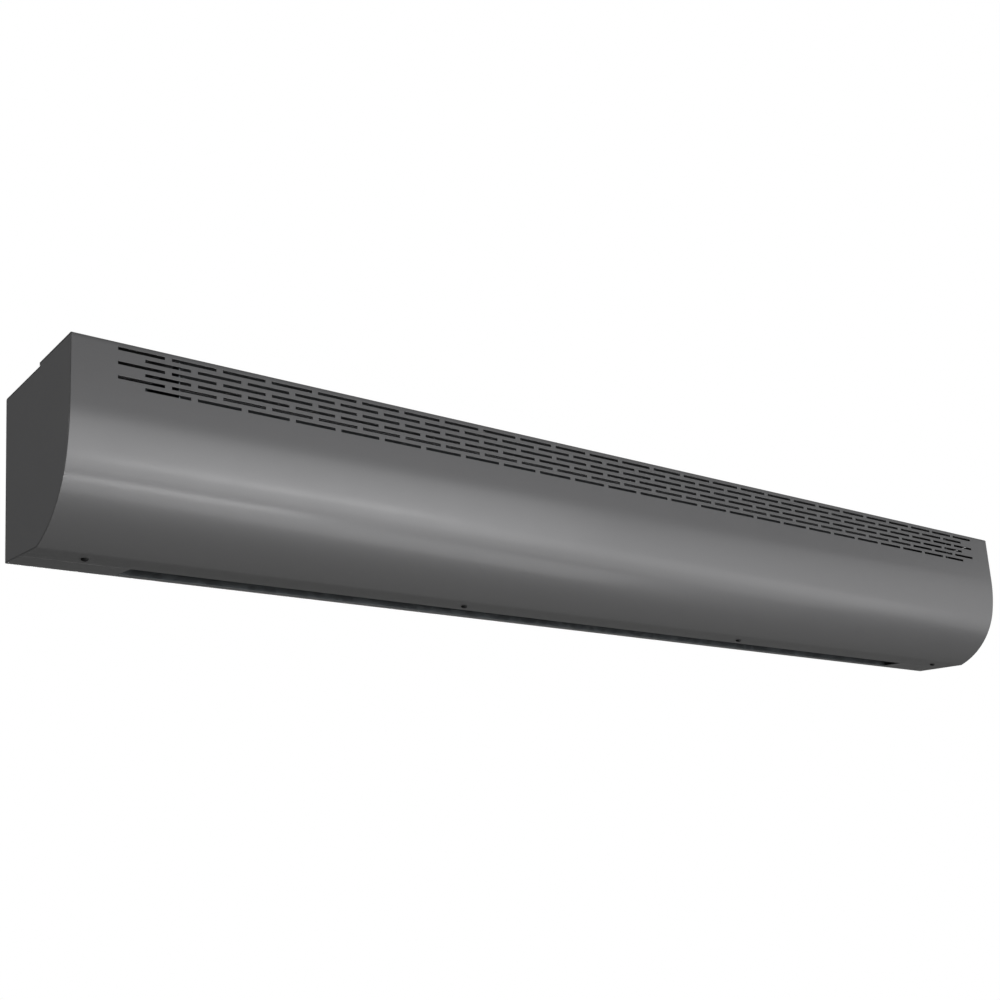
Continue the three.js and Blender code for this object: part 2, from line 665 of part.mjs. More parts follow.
// The wall at each end of the fan chamber, with holes for the bearing, the rods and the lead.
function bulkhead(name, side) {
  const holes = [[FAN_Y, FAN_Z, BEARING_RADIUS + GAP + GROMMET_WALL + GAP]];
  for (const [y, height] of ROD_PLACES) {
    holes.push([-y, above(height), ROD_RADIUS + GAP + BUSH_WALL + GAP, ROD_SIDES]);
  }
  if (side < 0) {
    holes.push([LEAD_RUN_SETBACK - DEPTH, above(LEAD_RUN_HEIGHT), LEAD_HOLE_RADIUS, ROD_SIDES]);
  }
  const inner = side * CHAMBER_HALF;
  const outer = side * BULKHEAD_OUTER;
  const wall = alongX(shellSection(FOOT_HEIGHT), inner, outer, holes);
  const web = backStrip(FOOT_HEIGHT, inner, outer);
  const flange = backStrip(BULKHEAD_SHEET, inner, outer + side * FLANGE_WIDTH);
  const top = block(-HALF, -DEPTH, CASE_TOP_Z - CASE_SHEET - GAP, HALF, 0, CASE_HEIGHT);
  return piece(name, cut(join(wall, web, flange), top), zincSheet);
}

// ---- Motor ------------------------------------------------------------------------------------

function motorHousing() {
  const bore = SHAFT_RADIUS + RUNNING_GAP;
  const flank = MOTOR_RADIUS - MOTOR_SHOULDER;
  const wall = MOTOR_HALF - MOTOR_SHOULDER;
  const profile = [
    [bore, -BOSS_END], [BOSS_RADIUS, -BOSS_END], [BOSS_RADIUS, -MOTOR_HALF], [flank, -MOTOR_HALF],
    [MOTOR_RADIUS, -wall], [MOTOR_RADIUS, wall], [flank, MOTOR_HALF],
    [BOSS_RADIUS, MOTOR_HALF], [BOSS_RADIUS, BOSS_END], [bore, BOSS_END], [bore, -BOSS_END],
  ];
  return piece('motor_housing', turned(profile), castMotor);
}

const RING_MIDDLE = MOTOR_HALF + GAP + RING_WIDTH / 2;

function motorRing(name, side) {
  const waist = BOSS_RADIUS + GAP + RING_WALL;
  const lipThickness = (RING_WIDTH - BRACKET_SHEET) / 2 - GAP;
  const ring = grommet(BOSS_RADIUS + GAP, waist, waist + RING_LIP, BRACKET_SHEET, lipThickness);
  return piece(name, ring, rubber, side * RING_MIDDLE);
}

// A folded bracket on the duct's rear wall: two eyes for the rubber rings, joined by a back.
function motorCradle() {
  const hole = BOSS_RADIUS + GAP + RING_WALL + GAP;
  const back = FAN_FROM_WALL - OUTLET_REAR - GAP; // from the fan axis to the duct's rear wall
  const half = BRACKET_SHEET / 2;
  const reach = RING_MIDDLE + half;
  const parts = [block(-reach, back - BRACKET_SHEET, -CRADLE_DROP, reach, back, -GAP)];
  const bores = [];
  for (const side of [-1, 1]) {
    const x = side * RING_MIDDLE;
    parts.push(collarPlate(hole + CRADLE_RIM, x - half, x + half));
    parts.push(block(x - half, 0, -hole - CRADLE_RIM, x + half, back, -GAP));
    bores.push(collarPlate(hole, x - BRACKET_SHEET, x + BRACKET_SHEET));
  }
  return piece('motor_cradle', cut(join(...parts), ...bores), zincSheet);
}

const collarPlate = (radius, from, to) => alongX(circle(0, 0, radius), from, to);

// ---- Rotor ------------------------------------------------------------------------------------

function motorShaft() {
  const end = IMPELLER_START + SHAFT_REACH;
  const rim = SHAFT_RADIUS - SHAFT_CHAMFER;
  const profile = [
    [0, -end], [rim, -end], [SHAFT_RADIUS, SHAFT_CHAMFER - end],
    [SHAFT_RADIUS, end - SHAFT_CHAMFER], [rim, end], [0, end],
  ];
  return piece('motor_shaft', turned(profile), steel);
}

// A forward-curved blade's section, at one place round the wheel.
function bladeOutline(angle) {
  const inner = IMPELLER_RADIUS - BLADE_DEPTH;
  const camber = Array.from({ length: BLADE_STEPS + 1 }, (_, i) => {
    const share = i / BLADE_STEPS;
    const radius = inner + share * (BLADE_DEPTH - BLADE_SHEET / 2);
    const turn = angle + BLADE_SWEEP * share * share;
    return at(radius * Math.cos(turn), radius * Math.sin(turn));
  });
  const left = offsetLine(camber, BLADE_SHEET / 2);
  const right = offsetLine(camber, -BLADE_SHEET / 2);
  return [...left, ...right.reverse()];
}

// A cross-flow wheel: a disc at each end, a ring in the middle and blades through all three.
function impeller(name, side) {
  const start = side * IMPELLER_START;
  const end = side * (IMPELLER_START + IMPELLER_LENGTH);
  const middle = side * (IMPELLER_START + IMPELLER_LENGTH / 2);
  const bore = SHAFT_RADIUS + GAP;
  const round = (radius, from, length, holes) =>
    alongX(circle(0, 0, radius, BLADE_COUNT), from, from + side * length, holes);
  const ringHole = IMPELLER_RADIUS - BLADE_DEPTH - BLADE_SHEET;
  const blades = Array.from({ length: BLADE_COUNT }, (_, i) => {
    const outline = bladeOutline((2 * Math.PI * i) / BLADE_COUNT);
    return alongX(outline, start + side * END_DISC / 2, end - side * END_DISC / 2);
  });
  const wheel = join(
    round(IMPELLER_RADIUS, start, END_DISC),
    round(IMPELLER_RADIUS, end, -END_DISC),
    round(HUB_RADIUS, start, HUB_LENGTH),
    round(HUB_RADIUS, end, -STUB_HUB_LENGTH),
    round(IMPELLER_RADIUS, middle, MIDDLE_RING, [[0, 0, ringHole]]),
    mergeGeometries(blades),
  );
  const drill = alongX(circle(0, 0, bore), start - side * CUT_REACH, end + side * CUT_REACH);
  return piece(name, cut(wheel, drill), aluminium);
}

function stubShaft(name, side) {
  const from = IMPELLER_START + IMPELLER_LENGTH - STUB_HUB_LENGTH;
  const length = STUB_HUB_LENGTH + STUB_REACH;
  const profile = [
    [0, 0], [SHAFT_RADIUS, 0], [SHAFT_RADIUS, length - SHAFT_CHAMFER],
    [SHAFT_RADIUS - SHAFT_CHAMFER, length], [0, length],
  ];
  const mesh = piece(name, turned(profile), steel, side * from);
  mesh.rotation.y = side < 0 ? Math.PI : 0;
  return mesh;
}

// ---- Bearings ---------------------------------------------------------------------------------

const BULKHEAD_MIDDLE = CHAMBER_HALF + BULKHEAD_SHEET / 2;

function bearing(name, side) {
  const sleeve = collar(SHAFT_RADIUS + RUNNING_GAP, BEARING_RADIUS, -BEARING_WIDTH / 2, BEARING_WIDTH / 2);
  return piece(name, sleeve, bronze, side * BULKHEAD_MIDDLE);
}

function bearingGrommet(name, side) {
  const bore = BEARING_RADIUS + GAP;
  const waist = bore + GROMMET_WALL;
  const ring = grommet(bore, waist, waist + GROMMET_LIP, BULKHEAD_SHEET, GROMMET_LIP_THICKNESS);
  return piece(name, ring, rubber, side * BULKHEAD_MIDDLE);
}

// ---- Heater -----------------------------------------------------------------------------------

const ROD_END = BULKHEAD_OUTER + ROD_PAST_BULKHEAD;

function heaterRod(index, y, height) {
  const stud = ROD_END + ROD_STUD_LENGTH;
  const profile = [
    [0, -stud], [ROD_STUD_RADIUS, -stud], [ROD_STUD_RADIUS, -ROD_END], [ROD_RADIUS, -ROD_END],
    [ROD_RADIUS, ROD_END], [ROD_STUD_RADIUS, ROD_END], [ROD_STUD_RADIUS, stud], [0, stud],
  ];
  return piece(`heater_rod_${index + 1}`, turned(profile, ROD_SIDES), rodSteel, 0, -y, above(height));
}

function heaterBush(name, side, y, height) {
  const bore = ROD_RADIUS + GAP;
  const waist = bore + BUSH_WALL;
  const bush = grommet(bore, waist, waist + BUSH_LIP, BULKHEAD_SHEET, BUSH_LIP_THICKNESS, ROD_SIDES);
  return piece(name, bush, ceramic, side * BULKHEAD_MIDDLE, -y, above(height));
}

// A plate across the duct that holds the rods, with a tab on the duct's rear wall.
function rodSupport(name, side) {
  const rear = -OUTLET_REAR - GAP;
  const low = above(SUPPORT_BOTTOM);
  const high = FAN_Z - IMPELLER_RADIUS - SUPPORT_CLEARANCE;
  const [heel, top] = offsetLine([GUIDE_HEEL, GUIDE_TOP], -GAP);
  const onGuide = (z) => heel.clone().lerp(top, (z - heel.y) / (top.y - heel.y));
  const holes = ROD_PLACES.map(([y, height]) => [-y, above(height), ROD_RADIUS + GAP, ROD_SIDES]);
  const from = side * SUPPORT_OFFSET;
  const outline = [onGuide(low), at(rear, low), at(rear, high), onGuide(high)];
  const plate = alongX(outline, from, from + side * BRACKET_SHEET, holes);
  const edge = rear - BRACKET_SHEET;
  const strip = [at(edge, low), at(rear, low), at(rear, high), at(edge, high)];
  const tab = alongX(strip, from, from + side * SUPPORT_TAB);
  return piece(name, join(plate, tab), zincSheet);
}

// The strip that joins the three rods' right ends.
function starBar() {
  const studs = ROD_PLACES.map(([y, height]) => at(-y, above(height)));
  const outward = -Math.sign(THREE.ShapeUtils.area(studs));
  const outline = offsetLine(studs, outward * STAR_BAR_MARGIN, true);
  const holes = studs.map((stud) => [stud.x, stud.y, ROD_STUD_RADIUS + GAP, ROD_SIDES]);
  const from = ROD_END + GAP;
  return piece('star_bar', alongX(outline, from, from + STAR_BAR_SHEET, holes), brass);
}

// ---- Overheat cut-out -------------------------------------------------------------------------

const CUTOUT_FACE = -BULKHEAD_OUTER - GAP; // where it sits on the left bulkhead

function cutoutBody() {
  const plate = block(
    -CUTOUT_PLATE_SHEET, -CUTOUT_PLATE_WIDTH / 2, -CUTOUT_PLATE_HEIGHT / 2,
    0, CUTOUT_PLATE_WIDTH / 2, CUTOUT_PLATE_HEIGHT / 2,
  );
  const drum = alongX(circle(0, 0, CUTOUT_RADIUS), -CUTOUT_LENGTH, 0);
  const well = alongX(
    circle(0, 0, RESET_RADIUS + GAP, ROD_SIDES),
    -CUTOUT_LENGTH - CUT_REACH, -CUTOUT_LENGTH + RESET_DEPTH + RESET_TRAVEL + GAP,
  );
  return piece('cutout_body', cut(join(plate, drum), well), blackPlastic, CUTOUT_FACE);
}

function cutoutButton() {
  const stem = turned([
    [0, -RESET_PROUD], [RESET_RADIUS, -RESET_PROUD], [RESET_RADIUS, RESET_DEPTH], [0, RESET_DEPTH],
  ], ROD_SIDES);
  return piece('cutout_button', stem, redPlastic, CUTOUT_FACE - CUTOUT_LENGTH);
}

// ---- Control tray and what is on it -----------------------------------------------------------

const TRAY_LEFT = -PLATE_INNER + FLANGE_WIDTH + TRAY_SIDE_GAP;
const TRAY_RIGHT = -BULKHEAD_OUTER - FLANGE_WIDTH - TRAY_SIDE_GAP;
const TRAY_MIDDLE = (TRAY_LEFT + TRAY_RIGHT) / 2;
const TRAY_LOW = BASE_Z + TRAY_MARGIN;
const TRAY_HIGH = CASE_TOP_Z - TRAY_MARGIN;
const EARTH_SCREW_Z = TRAY_HIGH - EARTH_SCREW_DROP;
const TERMINAL_Z = TRAY_HIGH - TERMINAL_DROP;
const BOARD_Z = TERMINAL_Z - TERMINAL_HEIGHT / 2 - BOARD_DROP - BOARD_HEIGHT / 2;
const BOARD_Y = TRAY_FRONT_Y - BOARD_STANDOFF; // the board's back
const BOARD_FRONT_Y = BOARD_Y - BOARD_SHEET - GAP; // what sits on the board starts here
const RELAY_Y = BOARD_FRONT_Y - RELAY_DEPTH / 2;
const RELAY_Z = BOARD_Z + RELAY_RISE;
const TERMINAL_Y = TRAY_FRONT_Y - TERMINAL_DEPTH / 2;
const relayX = (index) => TRAY_MIDDLE + (index - 1) * RELAY_PITCH;
const TERMINAL_PITCH = TERMINAL_WIDTH / TERMINAL_WAYS;
const terminalX = (index) => TRAY_MIDDLE + (index - (TERMINAL_WAYS - 1) / 2) * TERMINAL_PITCH;

// A hat-shaped plate on two feet, with posts for the board.
function controlTray() {
  const line = [
    at(BACK_INNER_Y, TRAY_LOW - TRAY_FOOT),
    at(BACK_INNER_Y, TRAY_LOW),
    at(TRAY_Y, TRAY_LOW),
    at(TRAY_Y, TRAY_HIGH),
    at(BACK_INNER_Y, TRAY_HIGH),
    at(BACK_INNER_Y, TRAY_HIGH + TRAY_FOOT),
  ];
  const sheet = alongX(thicken(line, BRACKET_SHEET), TRAY_LEFT, TRAY_RIGHT);
  const hole = new THREE.CylinderGeometry(
    EARTH_SCREW_RADIUS + GAP, EARTH_SCREW_RADIUS + GAP, 2 * (BRACKET_SHEET + CUT_REACH), ROD_SIDES,
  ).translate(TRAY_MIDDLE, TRAY_Y, EARTH_SCREW_Z);
  const posts = [];
  for (const sideways of [-1, 1]) {
    for (const upward of [-1, 1]) {
      const post = new THREE.CylinderGeometry(STANDOFF_RADIUS, STANDOFF_RADIUS, BOARD_STANDOFF, ROD_SIDES);
      posts.push(post.translate(
        TRAY_MIDDLE + sideways * (BOARD_WIDTH / 2 - STANDOFF_INSET),
        TRAY_FRONT_Y - BOARD_STANDOFF / 2 + GAP,
        BOARD_Z + upward * (BOARD_HEIGHT / 2 - STANDOFF_INSET),
      ));
    }
  }
  return piece('control_tray', cut(join(sheet, ...posts), hole), zincSheet);
}

function relayBoard() {
  const board = new THREE.BoxGeometry(BOARD_WIDTH, BOARD_SHEET, BOARD_HEIGHT);
  return piece('relay_board', board, boardGreen, TRAY_MIDDLE, BOARD_Y - BOARD_SHEET / 2, BOARD_Z);
}

function relay(index) {
  const body = new THREE.BoxGeometry(RELAY_WIDTH, RELAY_DEPTH, RELAY_HEIGHT);
  return piece(`relay_${index + 1}`, body, relayBlue, relayX(index), RELAY_Y, RELAY_Z);
}

// A terminal block with a screw well for each way.
function terminalBlock() {
  const body = new THREE.BoxGeometry(TERMINAL_WIDTH, TERMINAL_DEPTH, TERMINAL_HEIGHT);
  const wells = Array.from({ length: TERMINAL_WAYS }, (_, i) => {
    const well = new THREE.CylinderGeometry(
      TERMINAL_WELL_RADIUS, TERMINAL_WELL_RADIUS, 2 * TERMINAL_WELL_DEPTH, ROD_SIDES,
    );
    return well.translate(terminalX(i) - TRAY_MIDDLE, -TERMINAL_DEPTH / 2, 0);
  });
  const drilled = cut(body, mergeGeometries(wells));
  return piece('terminal_block', drilled, whitePlastic, TRAY_MIDDLE, TERMINAL_Y, TERMINAL_Z);
}

function earthScrew() {
  const screw = screwBlank(
    EARTH_HEAD_RADIUS, EARTH_HEAD_RADIUS, EARTH_HEAD_HEIGHT, HEX_SIDES,
    EARTH_SCREW_RADIUS, EARTH_SCREW_LENGTH,
  );
  return piece('earth_screw', screw, brass, TRAY_MIDDLE, TRAY_FRONT_Y, EARTH_SCREW_Z);
}

const CAPACITOR_Y = TRAY_FRONT_Y - CLIP_SHEET - GAP - CAPACITOR_RADIUS;
const CAPACITOR_Z = TRAY_LOW + CAPACITOR_RISE;
const CAPACITOR_START = -PLATE_INNER + CAPACITOR_FROM_END;

function runCapacitor() {
  const rim = CAPACITOR_RADIUS - CAPACITOR_RIM;
  const can = turned([
    [0, 0], [rim, 0], [CAPACITOR_RADIUS, CAPACITOR_RIM],
    [CAPACITOR_RADIUS, CAPACITOR_LENGTH - CAPACITOR_RIM], [rim, CAPACITOR_LENGTH], [0, CAPACITOR_LENGTH],
  ]);
  return piece('run_capacitor', can, aluminium, CAPACITOR_START, CAPACITOR_Y, CAPACITOR_Z);
}

// A spring strap round three quarters of the capacitor, with a foot on the tray.
function capacitorClip() {
  const inner = CAPACITOR_RADIUS + GAP;
  const strap = Array.from({ length: CLIP_STEPS + 1 }, (_, i) => {
    const angle = CLIP_START + CLIP_TURN * (i / CLIP_STEPS);
    return at(inner * Math.cos(angle), inner * Math.sin(angle));
  });
  const foot = at(inner, CLIP_FOOT);
  const outline = thicken([...strap, foot], -CLIP_SHEET);
  const x = CAPACITOR_START + CAPACITOR_LENGTH / 2;
  const band = alongX(outline, -CLIP_WIDTH / 2, CLIP_WIDTH / 2);
  return piece('capacitor_clip', band, zincSheet, x, CAPACITOR_Y, CAPACITOR_Z);
}

// ---- Leads ------------------------------------------------------------------------------------

function lead(name, points, radius) {
  const knots = points.map(([x, y, z]) => new THREE.Vector3(x, y, z));
  const path = new THREE.CatmullRomCurve3(knots, false, 'centripetal');
  const steps = Math.ceil(path.getLength() / (2 * radius * LEAD_STEP));
  const section = new THREE.Shape(circle(0, 0, radius, LEAD_SIDES));
  return piece(name, new THREE.ExtrudeGeometry(section, { steps, extrudePath: path }), leadSleeve);
}

// From the motor's front, behind the cover, through the left bulkhead and up to the relay board.
function motorLead() {
  const bend = MOTOR_LEAD_BEND;
  const runY = LEAD_RUN_SETBACK - DEPTH;
  const runZ = above(LEAD_RUN_HEIGHT);
  const endX = relayX(0) - RELAY_WIDTH / 2;
  const endZ = BOARD_Z - BOARD_HEIGHT / 4;
  const front = FAN_Y - MOTOR_RADIUS;
  return lead('motor_lead', [
    [0, front - GAP, FAN_Z],
    [0, front - bend / 2, FAN_Z],
    [-bend / 2, front - bend, FAN_Z - bend],
    [-bend, runY - bend, runZ + bend],
    [-3 * bend, runY, runZ],
    [-5 * bend, runY, runZ],
    [-CHAMBER_HALF + bend, runY, runZ],
    [-BULKHEAD_OUTER - bend, runY, runZ],
    [endX + 2 * bend, runY + bend / 2, runZ + bend / 2],
    [endX + bend / 2, runY + 2 * bend, endZ - bend / 2],
    [endX, BOARD_FRONT_Y - bend, endZ],
    [endX, BOARD_FRONT_Y, endZ],
  ], MOTOR_LEAD_RADIUS);
}

// From a rod's left stud up to the underside of a relay, the lowest one in front of the capacitor.
function heaterLead(index) {
  const bend = HEATER_LEAD_BEND;
  const [fromWall, height] = ROD_PLACES[index];
  const x = -ROD_END - ROD_STUD_LENGTH - GAP;
  const y = -fromWall;
  const z = above(height);
  const endX = relayX(2 - index);
  const endZ = RELAY_Z - RELAY_HEIGHT / 2 - GAP;
  const swing = CAPACITOR_Y - CAPACITOR_RADIUS - bend;
  const around = index < 2 ? [] : [[x - 2 * bend, swing, z + bend], [x - 4 * bend, swing, z + 4 * bend]];
  return lead(`heater_lead_${index + 1}`, [
    [x, y, z],
    [x - bend, y, z],
    ...around,
    [endX, RELAY_Y - bend * index, endZ - HEATER_LEAD_RISE],
    [endX, RELAY_Y, endZ - bend],
    [endX, RELAY_Y, endZ],
  ], HEATER_LEAD_RADIUS);
}

// From a way of the terminal block down to the top of a relay.
function supplyLead(index) {
  const startX = terminalX(index + 1);
  const startZ = TERMINAL_Z - TERMINAL_HEIGHT / 2 - GAP;
  const endX = relayX(index);
  const endZ = RELAY_Z + RELAY_HEIGHT / 2 + GAP;
  return lead(`supply_lead_${index + 1}`, [
    [startX, TERMINAL_Y, startZ],
    [startX, TERMINAL_Y, startZ - SUPPLY_LEAD_BEND],
    [endX, RELAY_Y, endZ + SUPPLY_LEAD_BEND],
    [endX, RELAY_Y, endZ],
  ], SUPPLY_LEAD_RADIUS);
}

// ---- Assembly ---------------------------------------------------------------------------------

function shell() {
  const group = new THREE.Group();
  group.add(rearCasing(), frontCover(), endPlate('left_end_plate', -1), endPlate('right_end_plate', 1));
  group.add(baseRail(), ...coverScrewPlaces().map((x, index) => coverScrew(index, x)));
  group.add(cableGland(), glandLocknut());
  return group;
}

function duct() {
  const group = new THREE.Group();
  group.add(fanScroll(), outletGuide(), bulkhead('left_bulkhead', -1), bulkhead('right_bulkhead', 1));
  return group;
}

// Everything on the fan's axis.
function fan() {
  const group = new THREE.Group();
  group.position.set(0, FAN_Y, FAN_Z);
  group.add(motorHousing(), motorCradle());
  group.add(motorRing('left_motor_ring', -1), motorRing('right_motor_ring', 1));
  group.add(bearing('left_bearing', -1), bearing('right_bearing', 1));
  group.add(bearingGrommet('left_bearing_grommet', -1), bearingGrommet('right_bearing_grommet', 1));
  group.add(motorShaft(), impeller('left_impeller', -1), impeller('right_impeller', 1));
  group.add(stubShaft('left_stub_shaft', -1), stubShaft('right_stub_shaft', 1));
  return group;
}

function heater() {
  const group = new THREE.Group();
  ROD_PLACES.forEach(([y, height], index) => {
    group.add(heaterRod(index, y, height));
    group.add(heaterBush(`left_rod_bush_${index + 1}`, -1, y, height));
    group.add(heaterBush(`right_rod_bush_${index + 1}`, 1, y, height));
  });
  group.add(rodSupport('left_rod_support', -1), rodSupport('right_rod_support', 1), starBar());
  return group;
}

function cutout() {
  const group = new THREE.Group();
  group.position.set(0, -CUTOUT_FROM_WALL, above(CUTOUT_HEIGHT));
  group.add(cutoutBody(), cutoutButton());
  return group;
}

function controls() {
  const group = new THREE.Group();
  group.add(controlTray(), relayBoard(), relay(0), relay(1), relay(2));
  group.add(terminalBlock(), earthScrew(), runCapacitor(), capacitorClip());
  return group;
}

function leads() {
  const group = new THREE.Group();
  group.add(motorLead(), ...[0, 1, 2].map(heaterLead), ...[0, 1, 2].map(supplyLead));
  return group;
}

const airCurtain = new THREE.Group();
airCurtain.add(shell(), duct(), fan(), heater(), cutout(), controls(), leads());

export default airCurtain;
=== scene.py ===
import math

import bmesh
import bpy
from mathutils import Euler, Matrix, Vector


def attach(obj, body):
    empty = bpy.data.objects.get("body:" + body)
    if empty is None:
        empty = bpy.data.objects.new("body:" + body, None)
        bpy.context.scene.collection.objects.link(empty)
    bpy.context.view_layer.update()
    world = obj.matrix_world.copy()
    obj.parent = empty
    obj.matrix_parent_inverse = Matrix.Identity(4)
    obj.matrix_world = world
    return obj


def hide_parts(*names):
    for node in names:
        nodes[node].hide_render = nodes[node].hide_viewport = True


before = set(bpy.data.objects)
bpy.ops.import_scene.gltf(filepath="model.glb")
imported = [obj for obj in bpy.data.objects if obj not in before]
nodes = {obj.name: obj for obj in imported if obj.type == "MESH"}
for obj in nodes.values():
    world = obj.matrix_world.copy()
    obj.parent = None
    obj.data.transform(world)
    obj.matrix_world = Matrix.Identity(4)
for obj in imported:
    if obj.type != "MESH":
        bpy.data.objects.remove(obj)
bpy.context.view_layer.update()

# Everything below is in millimetres, in the row frame, until a mesh is made.
MM = 0.001

# ---- Sizes that the pieces share with the CAD part --------------------------------------------

HALF = 750
DEPTH = 160
CASE_TOP = 86
CASE_BOTTOM = -86
COVER_TOP = 90
COVER_BOTTOM = -93.8
COVER_LAP = -85
CASE_TOP_FRONT = -99
COVER_SHEET = 1
CASE_SHEET = 1.2
END_SHEET = 1.2
DUCT_SHEET = 0.8
BULKHEAD_SHEET = 1.5
GAP = 0.3
CHAMBER_HALF = 640
LEAN = math.radians(2.9)
UPPER_ARC = (207, math.radians(13.8), 10)
LOWER_ARC = (101.5, math.radians(58.4), 30)
FOLD_RADIUS = 2
OUTLET_FRONT = 40
OUTLET_REAR = 12
SEAM = 0.5
SLOT_LENGTH = 47.2
SLOT_WIDTH = 3.1
SLOT_PITCH = 54.5
SLOT_ROW_PITCH = 7.15
SLOT_TOP_MARGIN = 6.7
SLOT_COUNTS = (26, 25, 26, 25, 26, 25)
FAN_Y = -72
FAN_Z = 16
WHEEL_RADIUS = 45
WHEEL_START = 55
WHEEL_END = 635
KEYHOLES = (-560, 560)
KEYHOLE_Z = 40
KEYHOLE_RADIUS = 6.5
KEYHOLE_NECK = 6.5
KEYHOLE_NECK_LENGTH = 16
GLAND = (-690, -42)
GLAND_HOLE = 8.3


# ---- Lines in the YZ section ------------------------------------------------------------------

def unit(a, b):
    d = math.hypot(b[0] - a[0], b[1] - a[1])
    return (b[0] - a[0]) / d, (b[1] - a[1]) / d


def offset(line, distance):
    """An open line moved to its left, with mitred corners."""
    moved = []
    for i, p in enumerate(line):
        into = unit(line[i - 1], p) if i else unit(p, line[1])
        out = unit(p, line[i + 1]) if i < len(line) - 1 else into
        left = (-into[1] - out[1], into[0] + out[0])
        size = math.hypot(*left)
        left = (left[0] / size, left[1] / size)
        stretch = -left[0] * into[1] + left[1] * into[0]
        moved.append((p[0] + left[0] * distance / stretch, p[1] + left[1] * distance / stretch))
    return moved


def fold(line, radius, steps=6, least=math.radians(22)):
    """The line with its sharp corners rounded."""
    made = [line[0]]
    for i in range(1, len(line) - 1):
        a, p, b = line[i - 1], line[i], line[i + 1]
        into, out = unit(a, p), unit(p, b)
        turn = math.atan2(into[0] * out[1] - into[1] * out[0], into[0] * out[0] + into[1] * out[1])
        reach = radius * math.tan(abs(turn) / 2)
        room = min(math.dist(a, p), math.dist(p, b)) / 2
        if abs(turn) < least or reach > room:
            made.append(p)
            continue
        side = math.copysign(1, turn)
        start = (p[0] - into[0] * reach, p[1] - into[1] * reach)
        centre = (start[0] - side * into[1] * radius, start[1] + side * into[0] * radius)
        for k in range(steps + 1):
            angle = turn * k / steps
            x, y = start[0] - centre[0], start[1] - centre[1]
            made.append((centre[0] + x * math.cos(angle) - y * math.sin(angle),
                         centre[1] + x * math.sin(angle) + y * math.cos(angle)))
    made.append(line[-1])
    return made


def front_line(breaks=()):
    """The front from the top corner down to the bottom front edge, with extra points on its flat."""
    curve, heading = [(0.0, 0.0)], LEAN - math.pi / 2
    for radius, turn, steps in (UPPER_ARC, LOWER_ARC):
        bite = turn / steps
        chord = 2 * radius * math.sin(bite / 2)
        for _ in range(steps):
            direction = heading + bite / 2
            last = curve[-1]
            curve.append((last[0] + chord * math.cos(direction), last[1] + chord * math.sin(direction)))
            heading += bite
    drop = COVER_TOP - COVER_BOTTOM + curve[-1][1]
    flat_end = (drop * math.tan(LEAN) - DEPTH, COVER_TOP - drop)
    flat = [(-DEPTH + d * math.sin(LEAN), COVER_TOP - d * math.cos(LEAN)) for d in breaks]
    arcs = [(flat_end[0] + y, flat_end[1] + z) for y, z in curve]
    return [(-DEPTH, COVER_TOP), *flat, *arcs]


BOTTOM_EDGE = front_line()[-1]
SLOPE = math.atan2(CASE_BOTTOM - BOTTOM_EDGE[1], -BOTTOM_EDGE[0])


def over_underside(y, height=0.0):
    return y, CASE_BOTTOM + y * math.tan(SLOPE) + height / math.cos(SLOPE)


def circle(radius, sides, centre=(0, 0)):
    return [(centre[0] + radius * math.cos(2 * math.pi * i / sides),
             centre[1] + radius * math.sin(2 * math.pi * i / sides)) for i in range(sides)]


# ---- Meshes -----------------------------------------------------------------------------------

def make(name, points, faces, material, smooth=30):
    """A mesh object from points in millimetres."""
    mesh = bpy.data.meshes.new(name)
    mesh.from_pydata([(x * MM, y * MM, z * MM) for x, y, z in points], [], faces)
    mesh.validate()
    whole = bmesh.new()
    whole.from_mesh(mesh)
    bmesh.ops.recalc_face_normals(whole, faces=whole.faces)
    whole.to_mesh(mesh)
    whole.free()
    mesh.polygons.foreach_set("use_smooth", [True] * len(mesh.polygons))
    mesh.set_sharp_from_angle(angle=math.radians(smooth))
    mesh.materials.append(material)
    made = bpy.data.objects.new(name, mesh)
    bpy.context.scene.collection.objects.link(made)
    return made


def put(made, body="casing", replaces=()):
    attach(made, body)
    if replaces:
        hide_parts(*replaces)
    return made


def bevel(made, width, segments=2, angle=35):
    edge = made.modifiers.new("edge", "BEVEL")
    edge.width = width * MM
    edge.segments = segments
    edge.limit_method = "ANGLE"
    edge.angle_limit = math.radians(angle)
    edge.harden_normals = True
    return made


def sheet_grid(line, sheet, columns, removed=lambda row, column: False):
    """A folded sheet along X: the line's points make its rows and the columns are places along X."""
    inner = offset(line, sheet)
    count = len(columns)
    points = [(x, y, z) for y, z in line for x in columns]
    points += [(x, y, z) for y, z in inner for x in columns]
    shift = len(line) * count
    rows = len(line) - 1
    faces = []

    def gone(row, column):
        return not (0 <= row < rows and 0 <= column < count - 1) or removed(row, column)

    for row in range(rows):
        for column in range(count - 1):
            if gone(row, column):
                continue
            a = row * count + column
            b, c, d = a + 1, a + count + 1, a + count
            faces.append((a, b, c, d))
            faces.append((d + shift, c + shift, b + shift, a + shift))
            if gone(row - 1, column):
                faces.append((b, a, a + shift, b + shift))
            if gone(row + 1, column):
                faces.append((d, c, c + shift, d + shift))
            if gone(row, column - 1):
                faces.append((a, d, d + shift, a + shift))
            if gone(row, column + 1):
                faces.append((c, b, b + shift, c + shift))
    return used_only(points, faces)


def used_only(points, faces):
    """The same faces without the points that none of them uses."""
    order = {}
    for face in faces:
        for i in face:
            order.setdefault(i, len(order))
    return [points[i] for i in order], [tuple(order[i] for i in face) for face in faces]


def prism(outline, low, high, place=lambda x, y, z: (x, y, z)):
    """A YZ outline between two places along X."""
    count = len(outline)
    points = [place(x, y, z) for x in (low, high) for y, z in outline]
    faces = [tuple(range(count))[::-1], tuple(range(count, 2 * count))]
    faces += [(i, (i + 1) % count, (i + 1) % count + count, i + count) for i in range(count)]
    return points, faces


